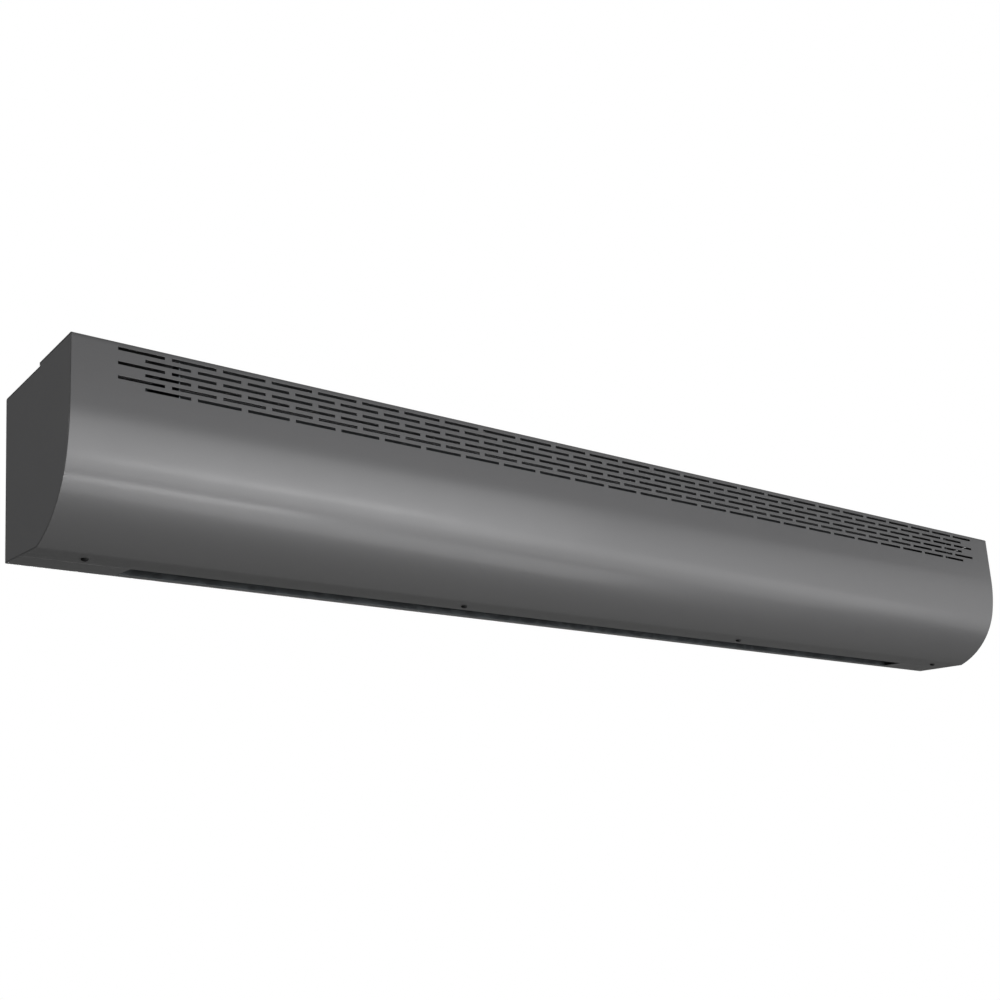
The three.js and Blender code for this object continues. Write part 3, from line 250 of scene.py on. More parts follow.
def lathe(profile, sides, place=lambda x, y, z: (x, y, z)):
    """A profile of (radius, x) turned about X. Radius 0 is a point on the axis."""
    points, rings = [], []
    for radius, x in profile:
        if radius <= 1e-6:
            rings.append([len(points)])
            points.append(place(x, 0, 0))
            continue
        rings.append(range(len(points), len(points) + sides))
        points += [place(x, y, z) for y, z in circle(radius, sides)]
    faces = []
    for low, high in zip(rings, rings[1:]):
        for i in range(sides):
            j = (i + 1) % sides
            if len(low) == 1:
                faces.append((low[0], high[i], high[j]))
            elif len(high) == 1:
                faces.append((low[i], low[j], high[0])[::-1])
            else:
                faces.append((low[j], low[i], high[i], high[j]))
    return points, faces


def merge(*parts):
    points, faces = [], []
    for more, theirs in parts:
        start = len(points)
        points += more
        faces += [tuple(i + start for i in face) for face in theirs]
    return points, faces


def carve(made, *cutters):
    """Cuts the cutters out of a mesh and drops them."""
    for cutter in cutters:
        cut = made.modifiers.new("cut", "BOOLEAN")
        cut.operation = "DIFFERENCE"
        cut.solver = "EXACT"
        cut.object = cutter
    whole = bpy.data.meshes.new_from_object(made.evaluated_get(bpy.context.evaluated_depsgraph_get()))
    made.modifiers.clear()
    made.data = whole
    for cutter in cutters:
        bpy.data.objects.remove(cutter)
    return made


# ---- Materials --------------------------------------------------------------------------------

class Shader:
    """A node material with a Principled shader, and short calls for the nodes that drive it."""

    def __init__(self, name):
        self.material = bpy.data.materials.new(name)
        self.material.use_nodes = True
        self.tree = self.material.node_tree
        self.main = self.tree.nodes["Principled BSDF"]
        self.coordinates = self.add("ShaderNodeTexCoord").outputs["Object"]

    def add(self, kind, **inputs):
        node = self.tree.nodes.new(kind)
        for key, value in inputs.items():
            self.set(node.inputs[key.replace("_", " ")], value)
        return node

    def set(self, socket, value):
        if isinstance(value, bpy.types.NodeSocket):
            self.tree.links.new(value, socket)
        else:
            socket.default_value = value

    def stretched(self, x, y, z):
        return self.add("ShaderNodeMapping", Vector=self.coordinates, Scale=(x, y, z)).outputs["Vector"]

    def noise(self, scale, detail=2.0, vector=None, roughness=0.5):
        node = self.add("ShaderNodeTexNoise", Scale=scale, Detail=detail, Roughness=roughness,
                        Vector=vector or self.coordinates)
        return node.outputs["Fac"]

    def remap(self, value, low, high, start=0.0, end=1.0):
        node = self.add("ShaderNodeMapRange", Value=value)
        node.inputs["From Min"].default_value = start
        node.inputs["From Max"].default_value = end
        node.inputs["To Min"].default_value = low
        node.inputs["To Max"].default_value = high
        return node.outputs["Result"]

    def math(self, operation, a, b=0.5):
        node = self.tree.nodes.new("ShaderNodeMath")
        node.operation = operation
        self.set(node.inputs[0], a)
        self.set(node.inputs[1], b)
        return node.outputs[0]

    def mix(self, factor, a, b):
        node = self.tree.nodes.new("ShaderNodeMix")
        node.data_type = "RGBA"
        self.set(node.inputs["Factor"], factor)
        self.set(node.inputs["A"], a)
        self.set(node.inputs["B"], b)
        return node.outputs["Result"]

    def bump(self, height, strength, distance):
        node = self.add("ShaderNodeBump", Height=height, Strength=strength, Distance=distance * MM)
        self.set(self.main.inputs["Normal"], node.outputs["Normal"])


def colour(code, lift=1.0):
    """A hex colour as linear RGBA, made lighter or darker by a factor."""
    parts = [int(code[i:i + 2], 16) / 255 for i in (0, 2, 4)]
    linear = [p / 12.92 if p <= 0.04045 else ((p + 0.055) / 1.055) ** 2.4 for p in parts]
    return (*[min(1.0, p * lift) for p in linear], 1.0)


def paint(name, code):
    """Satin powder coat: fine orange peel, faint mottling and a hint of metal flake."""
    s = Shader(name)
    s.main.inputs["Metallic"].default_value = 0.5
    mottle = s.noise(9, 3)
    flake = s.noise(2600, 1)
    shade = s.mix(s.remap(mottle, 0.35, 0.65), colour(code, 0.97), colour(code, 1.03))
    speck = s.mix(s.remap(flake, 0.0, 0.25, 0.6, 0.75), shade, colour(code, 1.35))
    s.set(s.main.inputs["Base Color"], speck)
    s.set(s.main.inputs["Roughness"], s.remap(s.noise(30, 2), 0.40, 0.46))
    s.main.inputs["Coat Weight"].default_value = 0.35
    s.main.inputs["Coat Roughness"].default_value = 0.17
    s.bump(s.noise(750, 2), 0.06, 0.05)
    return s.material


def zinc(name, code):
    """Galvanised sheet: soft spangle and rolled streaks."""
    s = Shader(name)
    s.main.inputs["Metallic"].default_value = 0.9
    cells = s.add("ShaderNodeTexVoronoi", Scale=110.0, Vector=s.coordinates)
    grey = s.add("ShaderNodeSeparateColor", Color=cells.outputs["Color"]).outputs["Red"]
    streak = s.noise(60, 2, s.stretched(0.05, 1, 1))
    tone = s.math("ADD", s.remap(grey, 0.0, 0.6), s.remap(streak, 0.0, 0.4))
    s.set(s.main.inputs["Base Color"], s.mix(tone, colour(code, 0.82), colour(code, 1.1)))
    s.set(s.main.inputs["Roughness"], s.remap(tone, 0.34, 0.5))
    s.bump(s.noise(400, 2), 0.05, 0.04)
    return s.material


def brushed(name, code, across=(1, 1, 1), rough=(0.28, 0.42), metal=1.0):
    """Metal with fine streaks along one direction."""
    s = Shader(name)
    s.main.inputs["Metallic"].default_value = metal
    streak = s.noise(500, 3, s.stretched(*across), 0.6)
    blotch = s.noise(40, 2)
    tone = s.math("ADD", s.remap(streak, 0.0, 0.7), s.remap(blotch, 0.0, 0.3))
    s.set(s.main.inputs["Base Color"], s.mix(tone, colour(code, 0.85), colour(code, 1.12)))
    s.set(s.main.inputs["Roughness"], s.remap(streak, *rough))
    s.bump(streak, 0.08, 0.03)
    return s.material


def cast(name, code, metal=0.8):
    """Cast metal with a coarse skin."""
    s = Shader(name)
    s.main.inputs["Metallic"].default_value = metal
    skin = s.noise(350, 4, roughness=0.6)
    s.set(s.main.inputs["Base Color"], s.mix(skin, colour(code, 0.8), colour(code, 1.15)))
    s.set(s.main.inputs["Roughness"], s.remap(skin, 0.42, 0.62))
    s.bump(skin, 0.25, 0.15)
    return s.material


def moulded(name, code, rough=(0.38, 0.5), grain=900, depth=0.1):
    """Moulded plastic, rubber or glaze with a fine grain."""
    s = Shader(name)
    grains = s.noise(grain, 2)
    cloud = s.noise(25, 2)
    s.set(s.main.inputs["Base Color"], s.mix(cloud, colour(code, 0.9), colour(code, 1.1)))
    s.set(s.main.inputs["Roughness"], s.remap(grains, *rough))
    s.bump(grains, depth, 0.06)
    return s.material


def heat_tinted(name, code, tint):
    """Heater sheath: satin steel with darker, warmer stretches."""
    s = Shader(name)
    s.main.inputs["Metallic"].default_value = 0.95
    band = s.noise(6, 2, s.stretched(1, 0.1, 0.1))
    fine = s.noise(600, 2, s.stretched(0.1, 1, 1))
    s.set(s.main.inputs["Base Color"], s.mix(s.remap(band, 0.0, 1.0, 0.35, 0.65), colour(code), colour(tint)))
    s.set(s.main.inputs["Roughness"], s.remap(fine, 0.34, 0.5))
    s.bump(fine, 0.1, 0.03)
    return s.material


def sleeve(name, code):
    """Braided glass-fibre sleeve round a lead."""
    s = Shader(name)
    one = s.add("ShaderNodeTexWave", Scale=420.0, Distortion=1.5, Vector=s.stretched(1, 1, 1)).outputs["Fac"]
    two = s.add("ShaderNodeTexWave", Scale=420.0, Distortion=1.5, Vector=s.stretched(-1, 1, 1)).outputs["Fac"]
    weave = s.math("MULTIPLY", one, two)
    s.set(s.main.inputs["Base Color"], s.mix(weave, colour(code, 0.7), colour(code, 1.5)))
    s.main.inputs["Roughness"].default_value = 0.75
    s.bump(weave, 0.3, 0.15)
    return s.material


def board(name, code, track):
    """Solder mask over tracks that run at right angles."""
    s = Shader(name)
    bricks = s.add("ShaderNodeTexBrick", Scale=160.0, Vector=s.stretched(1, 1, 1))
    bricks.inputs["Mortar Size"].default_value = 0.05
    s.set(s.main.inputs["Base Color"], s.mix(bricks.outputs["Fac"], colour(code), colour(track)))
    s.set(s.main.inputs["Roughness"], s.remap(s.noise(200, 2), 0.28, 0.4))
    s.bump(bricks.outputs["Fac"], 0.2, 0.05)
    return s.material


GRAPHITE = paint("graphite_paint", "656566")
# The zinc colour is set darker than bare galvanised sheet: painted shade, so that the outlet and the fan
# chamber behind the slots read dark.
ZINC = zinc("zinc_sheet", "6e7275")
ALUMINIUM = brushed("aluminium", "b9bcbe", (0.02, 1, 1))
CAST = cast("cast_housing", "6f7376")
STEEL = brushed("steel", "c3c5c6", (1, 0.1, 0.1), (0.18, 0.3))
SHEATH = heat_tinted("heater_sheath", "8f8a84", "6b5a4c")
BRONZE = brushed("bronze", "a8763c", (1, 0.1, 0.1), (0.35, 0.5))
BRASS = brushed("brass", "b5903f", (0.2, 1, 1), (0.3, 0.42))
RUBBER = moulded("black_rubber", "1d1d1e", (0.75, 0.9), 700, 0.2)
CERAMIC = moulded("ceramic", "e6e1d6", (0.4, 0.6), 500, 0.12)
BLACK_PLASTIC = moulded("black_plastic", "232425")
WHITE_PLASTIC = moulded("white_plastic", "d9d8d2")
RED_PLASTIC = moulded("red_plastic", "a92a22", (0.3, 0.42))
BOARD = board("board_green", "1f5a3a", "2f7350")
RELAY = moulded("relay_blue", "27476e", (0.3, 0.4))
BLACKED = cast("screw_black", "1b1b1c", 0.6)
SLEEVE = sleeve("lead_sleeve", "2b2b2d")


# ---- Shell ------------------------------------------------------------------------------------

SHELL_SMOOTH = 40  # degrees: the curve shades as one face and the folds stay crisp
COVER_EDGE = 0.18
CASING_EDGE = 0.2
CUT_REACH = 4  # a cutter's reach past the sheet


def front_cover():
    half = SLOT_WIDTH / 2
    middles = [SLOT_TOP_MARGIN + row * SLOT_ROW_PITCH for row in range(len(SLOT_COUNTS))]
    breaks = [middle + side * half for middle in middles for side in (-1, 1)]
    slots = []
    for count in SLOT_COUNTS:
        centres = [(i - (count - 1) / 2) * SLOT_PITCH for i in range(count)]
        slots.append([(c - SLOT_LENGTH / 2, c + SLOT_LENGTH / 2) for c in centres])
    columns = sorted({-HALF, HALF, *(x for row in slots for slot in row for x in slot)})
    line = fold([
        (COVER_LAP, CASE_TOP + GAP),
        (COVER_LAP, COVER_TOP),
        *front_line(breaks),
        over_underside(-OUTLET_FRONT),
    ], FOLD_RADIUS)
    first = min(range(len(line)), key=lambda i: math.dist(
        line[i], (-DEPTH + breaks[0] * math.sin(LEAN), COVER_TOP - breaks[0] * math.cos(LEAN))))

    def removed(row, column):
        band = row - first
        if not 0 <= band < len(breaks) or band % 2:
            return False
        middle = (columns[column] + columns[column + 1]) / 2
        return any(low < middle < high for low, high in slots[band // 2])

    made = make("front_cover_sheet", *sheet_grid(line, COVER_SHEET, columns, removed), GRAPHITE,
                SHELL_SMOOTH)
    bevel(made, COVER_EDGE)
    return put(made, replaces=["front_cover"])


def keyhole_cutters(x):
    """A round head with a narrower neck above it, through the back."""

    def through(along, y, z):
        return y, along, z

    side = KEYHOLE_NECK / 2
    rise = KEYHOLE_Z + KEYHOLE_NECK_LENGTH - side
    neck = [(x - side, KEYHOLE_Z), (x + side, KEYHOLE_Z)]
    neck += [(x + side * math.cos(math.pi * i / 16), rise + side * math.sin(math.pi * i / 16))
             for i in range(17)]
    outlines = (circle(KEYHOLE_RADIUS, 48, (x, KEYHOLE_Z)), neck)
    return [make("cutter", *prism(line, -CUT_REACH, CUT_REACH, through), GRAPHITE) for line in outlines]


def rear_casing():
    lip = -OUTLET_REAR + DUCT_SHEET + GAP
    end = HALF - END_SHEET - GAP
    line = fold([
        over_underside(-OUTLET_FRONT + SEAM),
        over_underside(lip),
        (0, CASE_BOTTOM),
        (0, CASE_TOP),
        (COVER_LAP - COVER_SHEET, CASE_TOP),
        (CASE_TOP_FRONT, CASE_TOP),
    ], FOLD_RADIUS)
    columns = [-HALF, -end, -CHAMBER_HALF, CHAMBER_HALF, end, HALF]
    last = len(line) - 2

    def removed(row, column):
        return (row == 0 and column == 2) or (row == last and column in (0, 4))

    made = make("casing_sheet", *sheet_grid(line, CASE_SHEET, columns, removed), GRAPHITE, SHELL_SMOOTH)
    cutters = [cutter for x in KEYHOLES for cutter in keyhole_cutters(x)]
    hole = prism(circle(GLAND_HOLE, 48, GLAND), CASE_TOP - CUT_REACH, CASE_TOP + CUT_REACH,
                 lambda x, y, z: (y, z, x))
    cutters.append(make("cutter", *hole, GRAPHITE))
    carve(made, *cutters)
    bevel(made, CASING_EDGE)
    return put(made, replaces=["rear_casing"])


front_cover()
rear_casing()

# ---- Turned pieces ----------------------------------------------------------------------------

def along_x(x0, y0, z0):
    """Places a turned piece with its axis along X."""
    return lambda x, y, z: (x0 + x, y0 + y, z0 + z)


def upright(x0, y0, z0):
    """Places a turned piece with its axis up."""
    return lambda x, y, z: (x0 + y, y0 + z, z0 + x)


def rounded(profile, radius):
    return fold(profile, radius, 4, math.radians(30))


def ring(bore, outer, half, radius=0.4):
    """A plain collar's profile, closed on itself."""
    line = [(bore, 0), (bore, -half), (outer, -half), (outer, half), (bore, half), (bore, 0)]
    return rounded(line, radius)


def grommet(bore, waist, lip, plate, lip_thickness):
    """A collar with a lip on each side of the plate that it sits in."""
    seat = plate / 2 + GAP
    half = seat + lip_thickness
    line = [(bore, 0), (bore, -half), (lip, -half), (lip, -seat), (waist, -seat),
            (waist, seat), (lip, seat), (lip, half), (bore, half), (bore, 0)]
    return rounded(line, 0.6)


def turned(name, profile, place, material, replaces, body="casing", sides=48):
    made = make(name, *lathe(profile, sides, place), material)
    return put(made, body, replaces)


SIDES = (("left", -1), ("right", 1))
BULKHEAD_MIDDLE = CHAMBER_HALF + BULKHEAD_SHEET / 2
SHAFT_RADIUS = 4
SHAFT_FIT = 0.1
RODS = ((-27, -43), (-52, -44), (-38, -63))
ROD_RADIUS = 4.25
ROD_END = 667.5
STUD_END = 679.5
STUD_RADIUS = 2
RING_MIDDLE = 43.3
RING_WIDTH = 8
BRACKET_SHEET = 1.5
MOTOR_SHAFT_HALF = 75
STUB_SHAFT = (619, 649)
SHAFT_CHAMFER = 0.8
BEARING_RADIUS = 9
BEARING_HALF = 4
GROMMET_WALL = 6
GROMMET_LIP = 3
GROMMET_LIP_THICKNESS = 2
MOTOR_BOSS = 14
RING_WALL = 4
RING_LIP = 3
BUSH_WALL = 2.8
BUSH_LIP = 2.5
BUSH_LIP_THICKNESS = 3


def shaft(low, high):
    line = [(0, low), (SHAFT_RADIUS, low), (SHAFT_RADIUS, high), (0, high)]
    return rounded(line, SHAFT_CHAMFER)


def fan_shafts():
    centre = along_x(0, FAN_Y, FAN_Z)
    turned("motor_shaft_turned", shaft(-MOTOR_SHAFT_HALF, MOTOR_SHAFT_HALF), centre, STEEL, ["motor_shaft"],
           "rotor", 32)
    for side, sign in SIDES:
        low, high = sorted(sign * x for x in STUB_SHAFT)
        turned(f"{side}_stub_turned", shaft(low, high), centre, STEEL,
               [f"{side}_stub_shaft"], "rotor", 32)


def bearings():
    bore = BEARING_RADIUS + GAP
    waist = bore + GROMMET_WALL
    sleeve = ring(SHAFT_RADIUS + SHAFT_FIT, BEARING_RADIUS, BEARING_HALF)
    cushion = grommet(bore, waist, waist + GROMMET_LIP, BULKHEAD_SHEET, GROMMET_LIP_THICKNESS)
    for side, sign in SIDES:
        place = along_x(sign * BULKHEAD_MIDDLE, FAN_Y, FAN_Z)
        turned(f"{side}_bearing_sleeve", sleeve, place, BRONZE, [f"{side}_bearing"])
        turned(f"{side}_bearing_rubber", cushion, place, RUBBER, [f"{side}_bearing_grommet"])


def motor_rings():
    bore = MOTOR_BOSS + GAP
    waist = bore + RING_WALL
    lip_thickness = (RING_WIDTH - BRACKET_SHEET) / 2 - GAP
    for side, sign in SIDES:
        turned(f"{side}_motor_rubber", grommet(bore, waist, waist + RING_LIP, BRACKET_SHEET, lip_thickness),
               along_x(sign * RING_MIDDLE, FAN_Y, FAN_Z), RUBBER, [f"{side}_motor_ring"])


def heater():
    bore = ROD_RADIUS + GAP
    waist = bore + BUSH_WALL
    bush = grommet(bore, waist, waist + BUSH_LIP, BULKHEAD_SHEET, BUSH_LIP_THICKNESS)
    line = [(0, -STUD_END), (STUD_RADIUS, -STUD_END), (STUD_RADIUS, -ROD_END), (ROD_RADIUS, -ROD_END),
            (ROD_RADIUS, ROD_END), (STUD_RADIUS, ROD_END), (STUD_RADIUS, STUD_END), (0, STUD_END)]
    for i, (y, z) in enumerate(RODS, 1):
        turned(f"heater_sheath_{i}", rounded(line, 0.5), along_x(0, y, z), SHEATH, [f"heater_rod_{i}"],
               sides=32)
        for side, sign in SIDES:
            turned(f"{side}_bush_{i}", bush, along_x(sign * BULKHEAD_MIDDLE, y, z), CERAMIC,
                   [f"{side}_rod_bush_{i}"], sides=36)


# ---- Motor and wheels -------------------------------------------------------------------------

# One end bell as (radius, x), from the bore out and in again to the laminated band.
MOTOR_BELL = [(SHAFT_RADIUS + SHAFT_FIT, 0), (SHAFT_RADIUS + SHAFT_FIT, -49), (MOTOR_BOSS, -49),
              (MOTOR_BOSS, -39), (34, -39), (42, -31), (42, -20), (40.8, -20), (40.8, -18)]
BAND_HALF = 18
BAND_RADIUS = 41.6
BAND_GROOVE = 0.5
MOTOR_SCREW_CIRCLE = 28
MOTOR_SCREW_RADIUS = 3.2
MOTOR_SCREW = (38.5, 41)
BLADES = 36
BLADE_INNER = 33
BLADE_DEPTH = 11.5
BLADE_HALF_SHEET = 0.4
BLADE_SWEEP = math.radians(19)
WHEEL_RINGS = 9
RING_BORE = 32
HUB_RADIUS = 11
HUBS = ((WHEEL_START, 24), (WHEEL_END, -16))  # where each hub starts and how far it runs


def motor_housing():
    """Two end bells round a laminated band, with a screw head at each of four corners."""
    band = [(BAND_RADIUS - BAND_GROOVE * (i % 2), i - BAND_HALF) for i in range(2 * BAND_HALF + 1)]
    line = MOTOR_BELL + band + [(radius, -x) for radius, x in reversed(MOTOR_BELL)]
    centre = along_x(0, FAN_Y, FAN_Z)
    parts = [lathe(rounded(line, 0.5), 72, centre)]
    for sign in (-1, 1):
        for quarter in range(4):
            angle = math.pi / 4 + quarter * math.pi / 2
            y, z = MOTOR_SCREW_CIRCLE * math.cos(angle), MOTOR_SCREW_CIRCLE * math.sin(angle)
            head = circle(MOTOR_SCREW_RADIUS, 6, (FAN_Y + y, FAN_Z + z))
            parts.append(prism(head, *sorted(sign * x for x in MOTOR_SCREW)))
    made = make("motor_bells", *merge(*parts), CAST, 25)
    return put(made, replaces=["motor_housing"])


def blade(angle, steps=6):
    """A forward-curved blade's section at one place round the wheel."""
    camber = []
    for i in range(steps + 1):
        share = i / steps
        turn = angle + BLADE_SWEEP * share * share
        radius = BLADE_INNER + share * BLADE_DEPTH
        camber.append((radius * math.cos(turn), radius * math.sin(turn)))
    outline = offset(camber, BLADE_HALF_SHEET) + offset(camber, -BLADE_HALF_SHEET)[::-1]
    return [(FAN_Y + y, FAN_Z + z) for y, z in outline]


def impeller(side, sign):
    """A cross-flow wheel: blades between two end discs, with rings on the way."""
    low, high = sorted((sign * WHEEL_START, sign * WHEEL_END))
    centre = along_x(0, FAN_Y, FAN_Z)
    parts = [prism(blade(2 * math.pi * i / BLADES), low + 0.5, high - 0.5) for i in range(BLADES)]
    last = WHEEL_RINGS - 1
    for i in range(WHEEL_RINGS):
        middle = low + 1 + i * (high - low - 2) / last
        bore, half = (SHAFT_RADIUS + GAP, 1) if i in (0, last) else (RING_BORE, 0.7)
        profile = [(radius, middle + x) for radius, x in ring(bore, WHEEL_RADIUS, half, 0.3)]
        parts.append(lathe(profile, 72, centre))
    for near, length in HUBS:
        middle = sign * (near + length / 2)
        hub = ring(SHAFT_RADIUS + GAP, HUB_RADIUS, abs(length) / 2, 1)
        parts.append(lathe([(radius, middle + x) for radius, x in hub], 40, centre))
    made = make(f"{side}_wheel", *merge(*parts), ALUMINIUM)
    return put(made, "rotor", [f"{side}_impeller"])


# ---- Screws and gland -------------------------------------------------------------------------

SCREWS = (-696, -238, 238, 696)
SCREW_Y = -60
SCREW_RADIUS = 1.9
SCREW_HEAD = [(0, -2.2), (1.6, -2.2), (2.7, -1.9), (3.4, -1.2), (3.7, -0.4), (3.7, 0), (SCREW_RADIUS, 0)]
RECESS_ARMS = ((2, 0.5), (0.5, 2))  # half length and half width of the cross recess, both ways
RECESS = (-3, -1)  # from under the head to the recess's floor
GLAND_BORE = 5
GLAND_INSIDE = 7
GLAND_THREAD = 8
GLAND_RIBS = 24


def threaded(radius, depth, low, high, pitch):
    """A thread's outline as (radius, place along the axis)."""
    count = round((high - low) / pitch)
    return [(radius - depth * (i % 2), low + (high - low) * i / (2 * count)) for i in range(2 * count + 1)]


def cover_screw(index, x):
    """A pan head with a cross recess under the unit, and a thread up into the rail."""
    foot_y, foot_z = over_underside(SCREW_Y, -GAP)
    sine, cosine = math.sin(SLOPE), math.cos(SLOPE)

    def place(t, u, v):
        return x + u, foot_y - t * sine + v * cosine, foot_z + t * cosine + v * sine

    profile = [*SCREW_HEAD, *threaded(SCREW_RADIUS, 0.4, 0.4, 7.8, 0.9), (0, 9)]
    made = make(f"cover_screw_turned_{index}", *lathe(profile, 40, place), BLACKED)
    cutters = []
    for u, v in RECESS_ARMS:
        arm = [(-u, -v), (u, -v), (u, v), (-u, v)]
        cutters.append(make("cutter", *prism(arm, *RECESS, place), BLACKED))
    carve(made, *cutters)
    return put(made, replaces=[f"cover_screw_{index}"])


def cable_gland():
    """A hexagonal flange and a ribbed dome over the casing, with a thread down through it."""
    place = upright(*GLAND, CASE_TOP)
    body = [(GLAND_BORE, -12), (7.4, -12), *threaded(GLAND_THREAD, 0.6, -11.6, -0.8, 1.5),
            (GLAND_THREAD, GAP), (9.2, GAP), (9.2, 6.6), (7.9, 8), (GLAND_INSIDE, 8), (GLAND_INSIDE, 2),
            (GLAND_BORE, 2), (GLAND_BORE, -12)]
    parts = [lathe(body, 48, place), prism(circle(12, 6), GAP, 4, place)]
    for i in range(GLAND_RIBS):
        angle = 2 * math.pi * i / GLAND_RIBS
        y, z = 9.1 * math.cos(angle), 9.1 * math.sin(angle)
        parts.append(prism(circle(0.4, 6, (y, z)), 3.5, 6.4, place))
    made = make("gland_body", *merge(*parts), BLACK_PLASTIC)
    put(made, replaces=["cable_gland"])
    outer, foot, top = GLAND_INSIDE - 0.1, 2 + GAP, 7.6
    seal = [(GLAND_BORE, 5), (GLAND_BORE, foot), (outer, foot), (outer, top), (GLAND_BORE, top),
            (GLAND_BORE, 5)]
    put(make("gland_seal", *lathe(rounded(seal, 0.4), 48, place), RUBBER))


# ---- Electrical pieces ------------------------------------------------------------------------

TRAY_MIDDLE = -695.2
BOARD_FACE = -27.4
CHIPS = ((-22, -6), (4, -12), (24, -4))  # lower left corners, from the tray's middle
CHIP_SIZE = (9, 2.5, 6)
RESISTORS = 9
RESISTOR_PITCH = 8
TERMINALS = 5
TERMINAL_PITCH = 12.4
TERMINAL_Z = 50
TERMINAL_SCREW_RADIUS = 2.7
CAPACITOR = (-742.8, -35.1, -54)


def box(low, high):
    (x0, y0, z0), (x1, y1, z1) = low, high
    return prism([(y0, z0), (y1, z0), (y1, z1), (y0, z1)], x0, x1)


def board_parts():
    """Small parts on the lower half of the relay board."""
    wide, thick, high = CHIP_SIZE
    back = BOARD_FACE - 0.1
    chips = [box((TRAY_MIDDLE + x, back - thick, z), (TRAY_MIDDLE + x + wide, back, z + high))
             for x, z in CHIPS]
    put(bevel(make("board_chips", *merge(*chips), BLACK_PLASTIC), 0.3))
    beads = []
    for i in range(RESISTORS):
        place = along_x(TRAY_MIDDLE - 33 + RESISTOR_PITCH * i, BOARD_FACE - 1.3, 3.5 - 3 * (i % 2))
        beads.append(lathe(rounded([(0, -2.4), (1.2, -2.4), (1.2, 2.4), (0, 2.4)], 0.5), 16, place))
    put(make("board_resistors", *merge(*beads), CERAMIC))


def terminal_screws():
    """A slotted screw in each well of the terminal block."""
    parts = []
    radius = TERMINAL_SCREW_RADIUS
    for i in range(TERMINALS):
        x = TRAY_MIDDLE + (i - (TERMINALS - 1) / 2) * TERMINAL_PITCH

        def place(t, u, v, x=x):
            return x + u, t, TERMINAL_Z + v

        for half in (-1, 1):
            edge = [(radius * math.cos(a), radius * math.sin(a) * half) for a in
                    (math.radians(d) for d in range(8, 173, 12))]
            parts.append(prism(edge, -34.5, -31.2, place))
        parts.append(prism(circle(radius, 32), -32.6, -31, place))
    put(make("terminal_screw_heads", *merge(*parts), BRASS))


def run_capacitor():
    """A drawn can with a rolled groove near its closed end."""
    line = [(0, 0), (14, 0), (14, 38), (13, 39), (14, 40), (14, 44), (12, 44), (12, 42.6), (0, 42.6)]
    turned("capacitor_can", rounded(line, 0.6), along_x(*CAPACITOR), ALUMINIUM,
           ["run_capacitor"])


fan_shafts()
bearings()
motor_rings()
heater()
motor_housing()
for side, sign in SIDES:
    impeller(side, sign)
for number, x in enumerate(SCREWS, 1):
    cover_screw(number, x)
cable_gland()
board_parts()
terminal_screws()
run_capacitor()

# ---- CAD nodes that keep their shape ----------------------------------------------------------

KEPT = {
    GRAPHITE: ("left_end_plate", "right_end_plate"),
    ZINC: ("base_rail", "fan_scroll", "outlet_guide", "left_bulkhead", "right_bulkhead", "motor_cradle",
           "left_rod_support", "right_rod_support", "control_tray", "capacitor_clip"),
    BRASS: ("star_bar", "earth_screw"),
    BLACK_PLASTIC: ("gland_locknut", "cutout_body"),
    WHITE_PLASTIC: ("terminal_block",),
    RED_PLASTIC: ("cutout_button",),
    BOARD: ("relay_board",),
    RELAY: ("relay_1", "relay_2", "relay_3"),
    SLEEVE: ("motor_lead", *(f"{kind}_lead_{i}" for kind in ("heater", "supply") for i in (1, 2, 3))),
}
EDGE = {GRAPHITE: 0.35, ZINC: 0.15, RELAY: 0.8, WHITE_PLASTIC: 0.5, BOARD: 0.1}


def keep(name, material):
    """Dresses a CAD node: joined-up faces, softened edges and, on a lead, a rounder section."""
    node = nodes[name]
    node.data.materials.clear()
    node.data.materials.append(material)
    weld = node.modifiers.new("weld", "WELD")
    weld.merge_threshold = 0.01 * MM
    if material is SLEEVE:
        node.modifiers.new("round", "SUBSURF").render_levels = 2
    else:
        bevel(node, EDGE.get(material, 0.3))


for material, names in KEPT.items():
    for name in names:
        keep(name, material)

# ---- Camera, light and floor ------------------------------------------------------------------

camera = bpy.data.objects.new("camera", bpy.data.cameras.new("camera"))
camera.location = (-1.22173, -1.27304, -0.52166)
camera.rotation_euler = Euler((math.radians(a) for a in (106.478, 5.2598, -39.1173)), "XYZ")
camera.data.lens = 50.403
camera.data.sensor_width = 36
camera.data.shift_y = 0.0774
camera.data.clip_start = 0.01
camera.data.clip_end = 50
bpy.context.scene.collection.objects.link(camera)
bpy.context.scene.camera = camera

# The backdrop is white where the camera or a clear surface sees it, and where a reflection reaches the
# part of it that stands behind the unit. Elsewhere the studio is dim.
AMBIENT = 0.13
BACKDROP = Vector((0.50, 0.62, 0.60)).normalized()
BACKDROP_EDGE = (math.cos(math.radians(40)), math.cos(math.radians(28)))
world = bpy.data.worlds.new("studio")
world.use_nodes = True
bpy.context.scene.world = world
links, wnodes = world.node_tree.links, world.node_tree.nodes


def node_math(operation, first, second):
    node = wnodes.new("ShaderNodeMath")
    node.operation = operation
    links.new(first, node.inputs[0])
    links.new(second, node.inputs[1])
    return node.outputs[0]


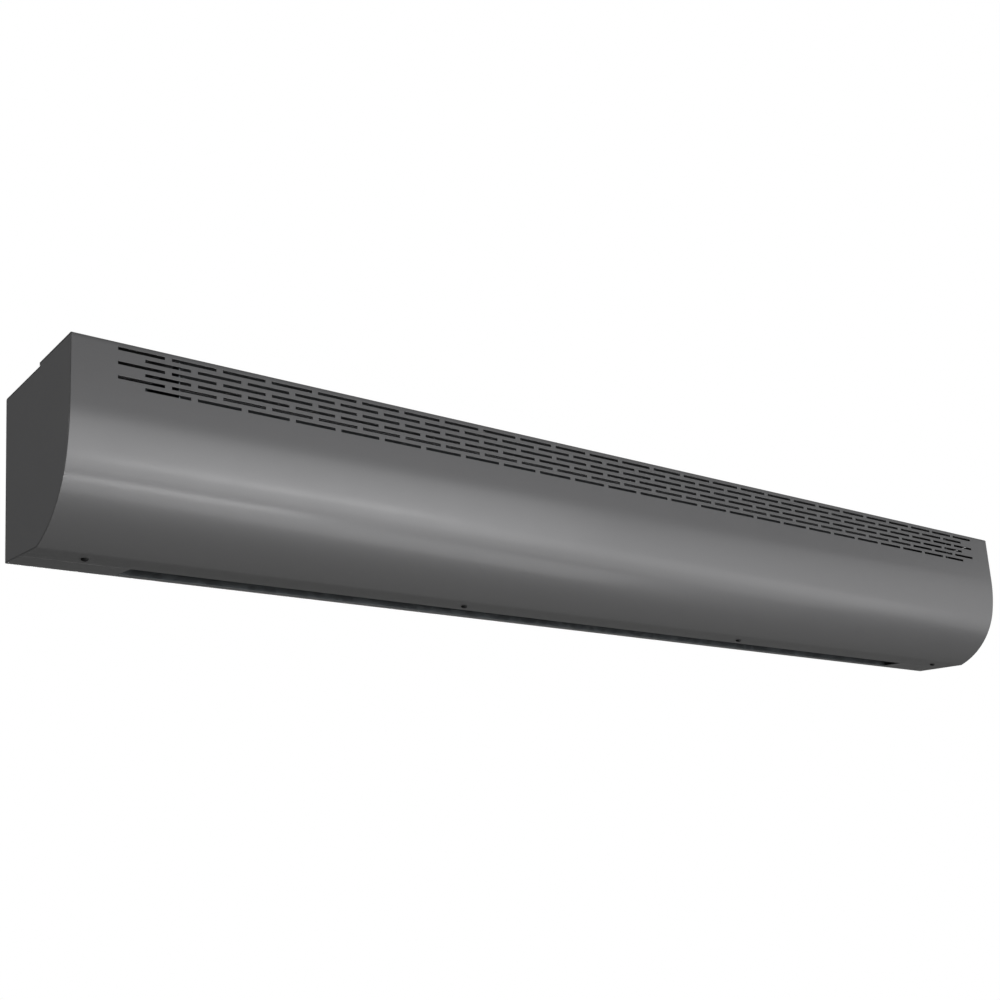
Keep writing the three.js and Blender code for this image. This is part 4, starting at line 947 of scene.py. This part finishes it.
path = wnodes.new("ShaderNodeLightPath")
toward = wnodes.new("ShaderNodeVectorMath")
toward.operation = "DOT_PRODUCT"
toward.inputs[1].default_value = BACKDROP
links.new(wnodes.new("ShaderNodeTexCoord").outputs["Generated"], toward.inputs[0])
behind = wnodes.new("ShaderNodeMapRange")
behind.inputs["From Min"].default_value, behind.inputs["From Max"].default_value = BACKDROP_EDGE
links.new(toward.outputs["Value"], behind.inputs["Value"])
mirrored = node_math("MULTIPLY", path.outputs["Is Glossy Ray"], behind.outputs["Result"])
seen = node_math("MAXIMUM", path.outputs["Is Camera Ray"], path.outputs["Is Transmission Ray"])
white = node_math("MAXIMUM", seen, mirrored)
strength = wnodes.new("ShaderNodeMapRange")
strength.inputs["To Min"].default_value = AMBIENT
links.new(white, strength.inputs["Value"])
background = wnodes["Background"]
background.inputs["Color"].default_value = (1, 1, 1, 1)
links.new(strength.outputs["Result"], background.inputs["Strength"])


def lamp(name, place, target, size, power):
    data = bpy.data.lights.new(name, "AREA")
    data.shape = "RECTANGLE"
    data.size, data.size_y = size
    data.energy = power
    made = bpy.data.objects.new(name, data)
    made.location = place
    made.rotation_euler = (Vector(target) - Vector(place)).to_track_quat("-Z", "Y").to_euler()
    bpy.context.scene.collection.objects.link(made)
    return made


FRONT = (0, -0.1, 0)
LAMPS = (  # name, place, what it is aimed at, size, power
    ("wide_front", (0.3, -3.0, -0.3), FRONT, (4.0, 2.0), 60),
    ("low_right", (1.73, -1.73, -0.89), FRONT, (1.6, 0.8), 5),
    ("far_right", (2.6, -1.6, -0.3), FRONT, (1.8, 1.6), 8),
    ("upper_strip", (0.70, -2.31, -0.45), FRONT, (1.0, 0.22), 3.8),
    ("lower_strip", (0.45, -1.98, -1.33), FRONT, (0.7, 0.2), 4.5),
    ("below", (0.5, -1.3, -1.3), FRONT, (1.9, 0.5), 6.5),
    ("left", (-2.6, 0.6, 0.4), (-0.75, 0, 0), (0.8, 0.8), 10),
    ("back", (1.2, 3.0, 0.58), (0.6, 0, 0.1), (3.6, 0.4), 58),
)
for row in LAMPS:
    lamp(*row)

FLOOR_Z = -2400
FLOOR_REACH = 9000
corners = [(-1, -1), (1, -1), (1, 1), (-1, 1)]
floor = make("floor", [(x * FLOOR_REACH, y * FLOOR_REACH, FLOOR_Z) for x, y in corners], [(0, 1, 2, 3)],
             moulded("floor", "c6c6c4", (0.6, 0.8), 40, 0.02))

# ---- View transform ---------------------------------------------------------------------------

scene = bpy.context.scene
scene.view_settings.view_transform = "Standard"
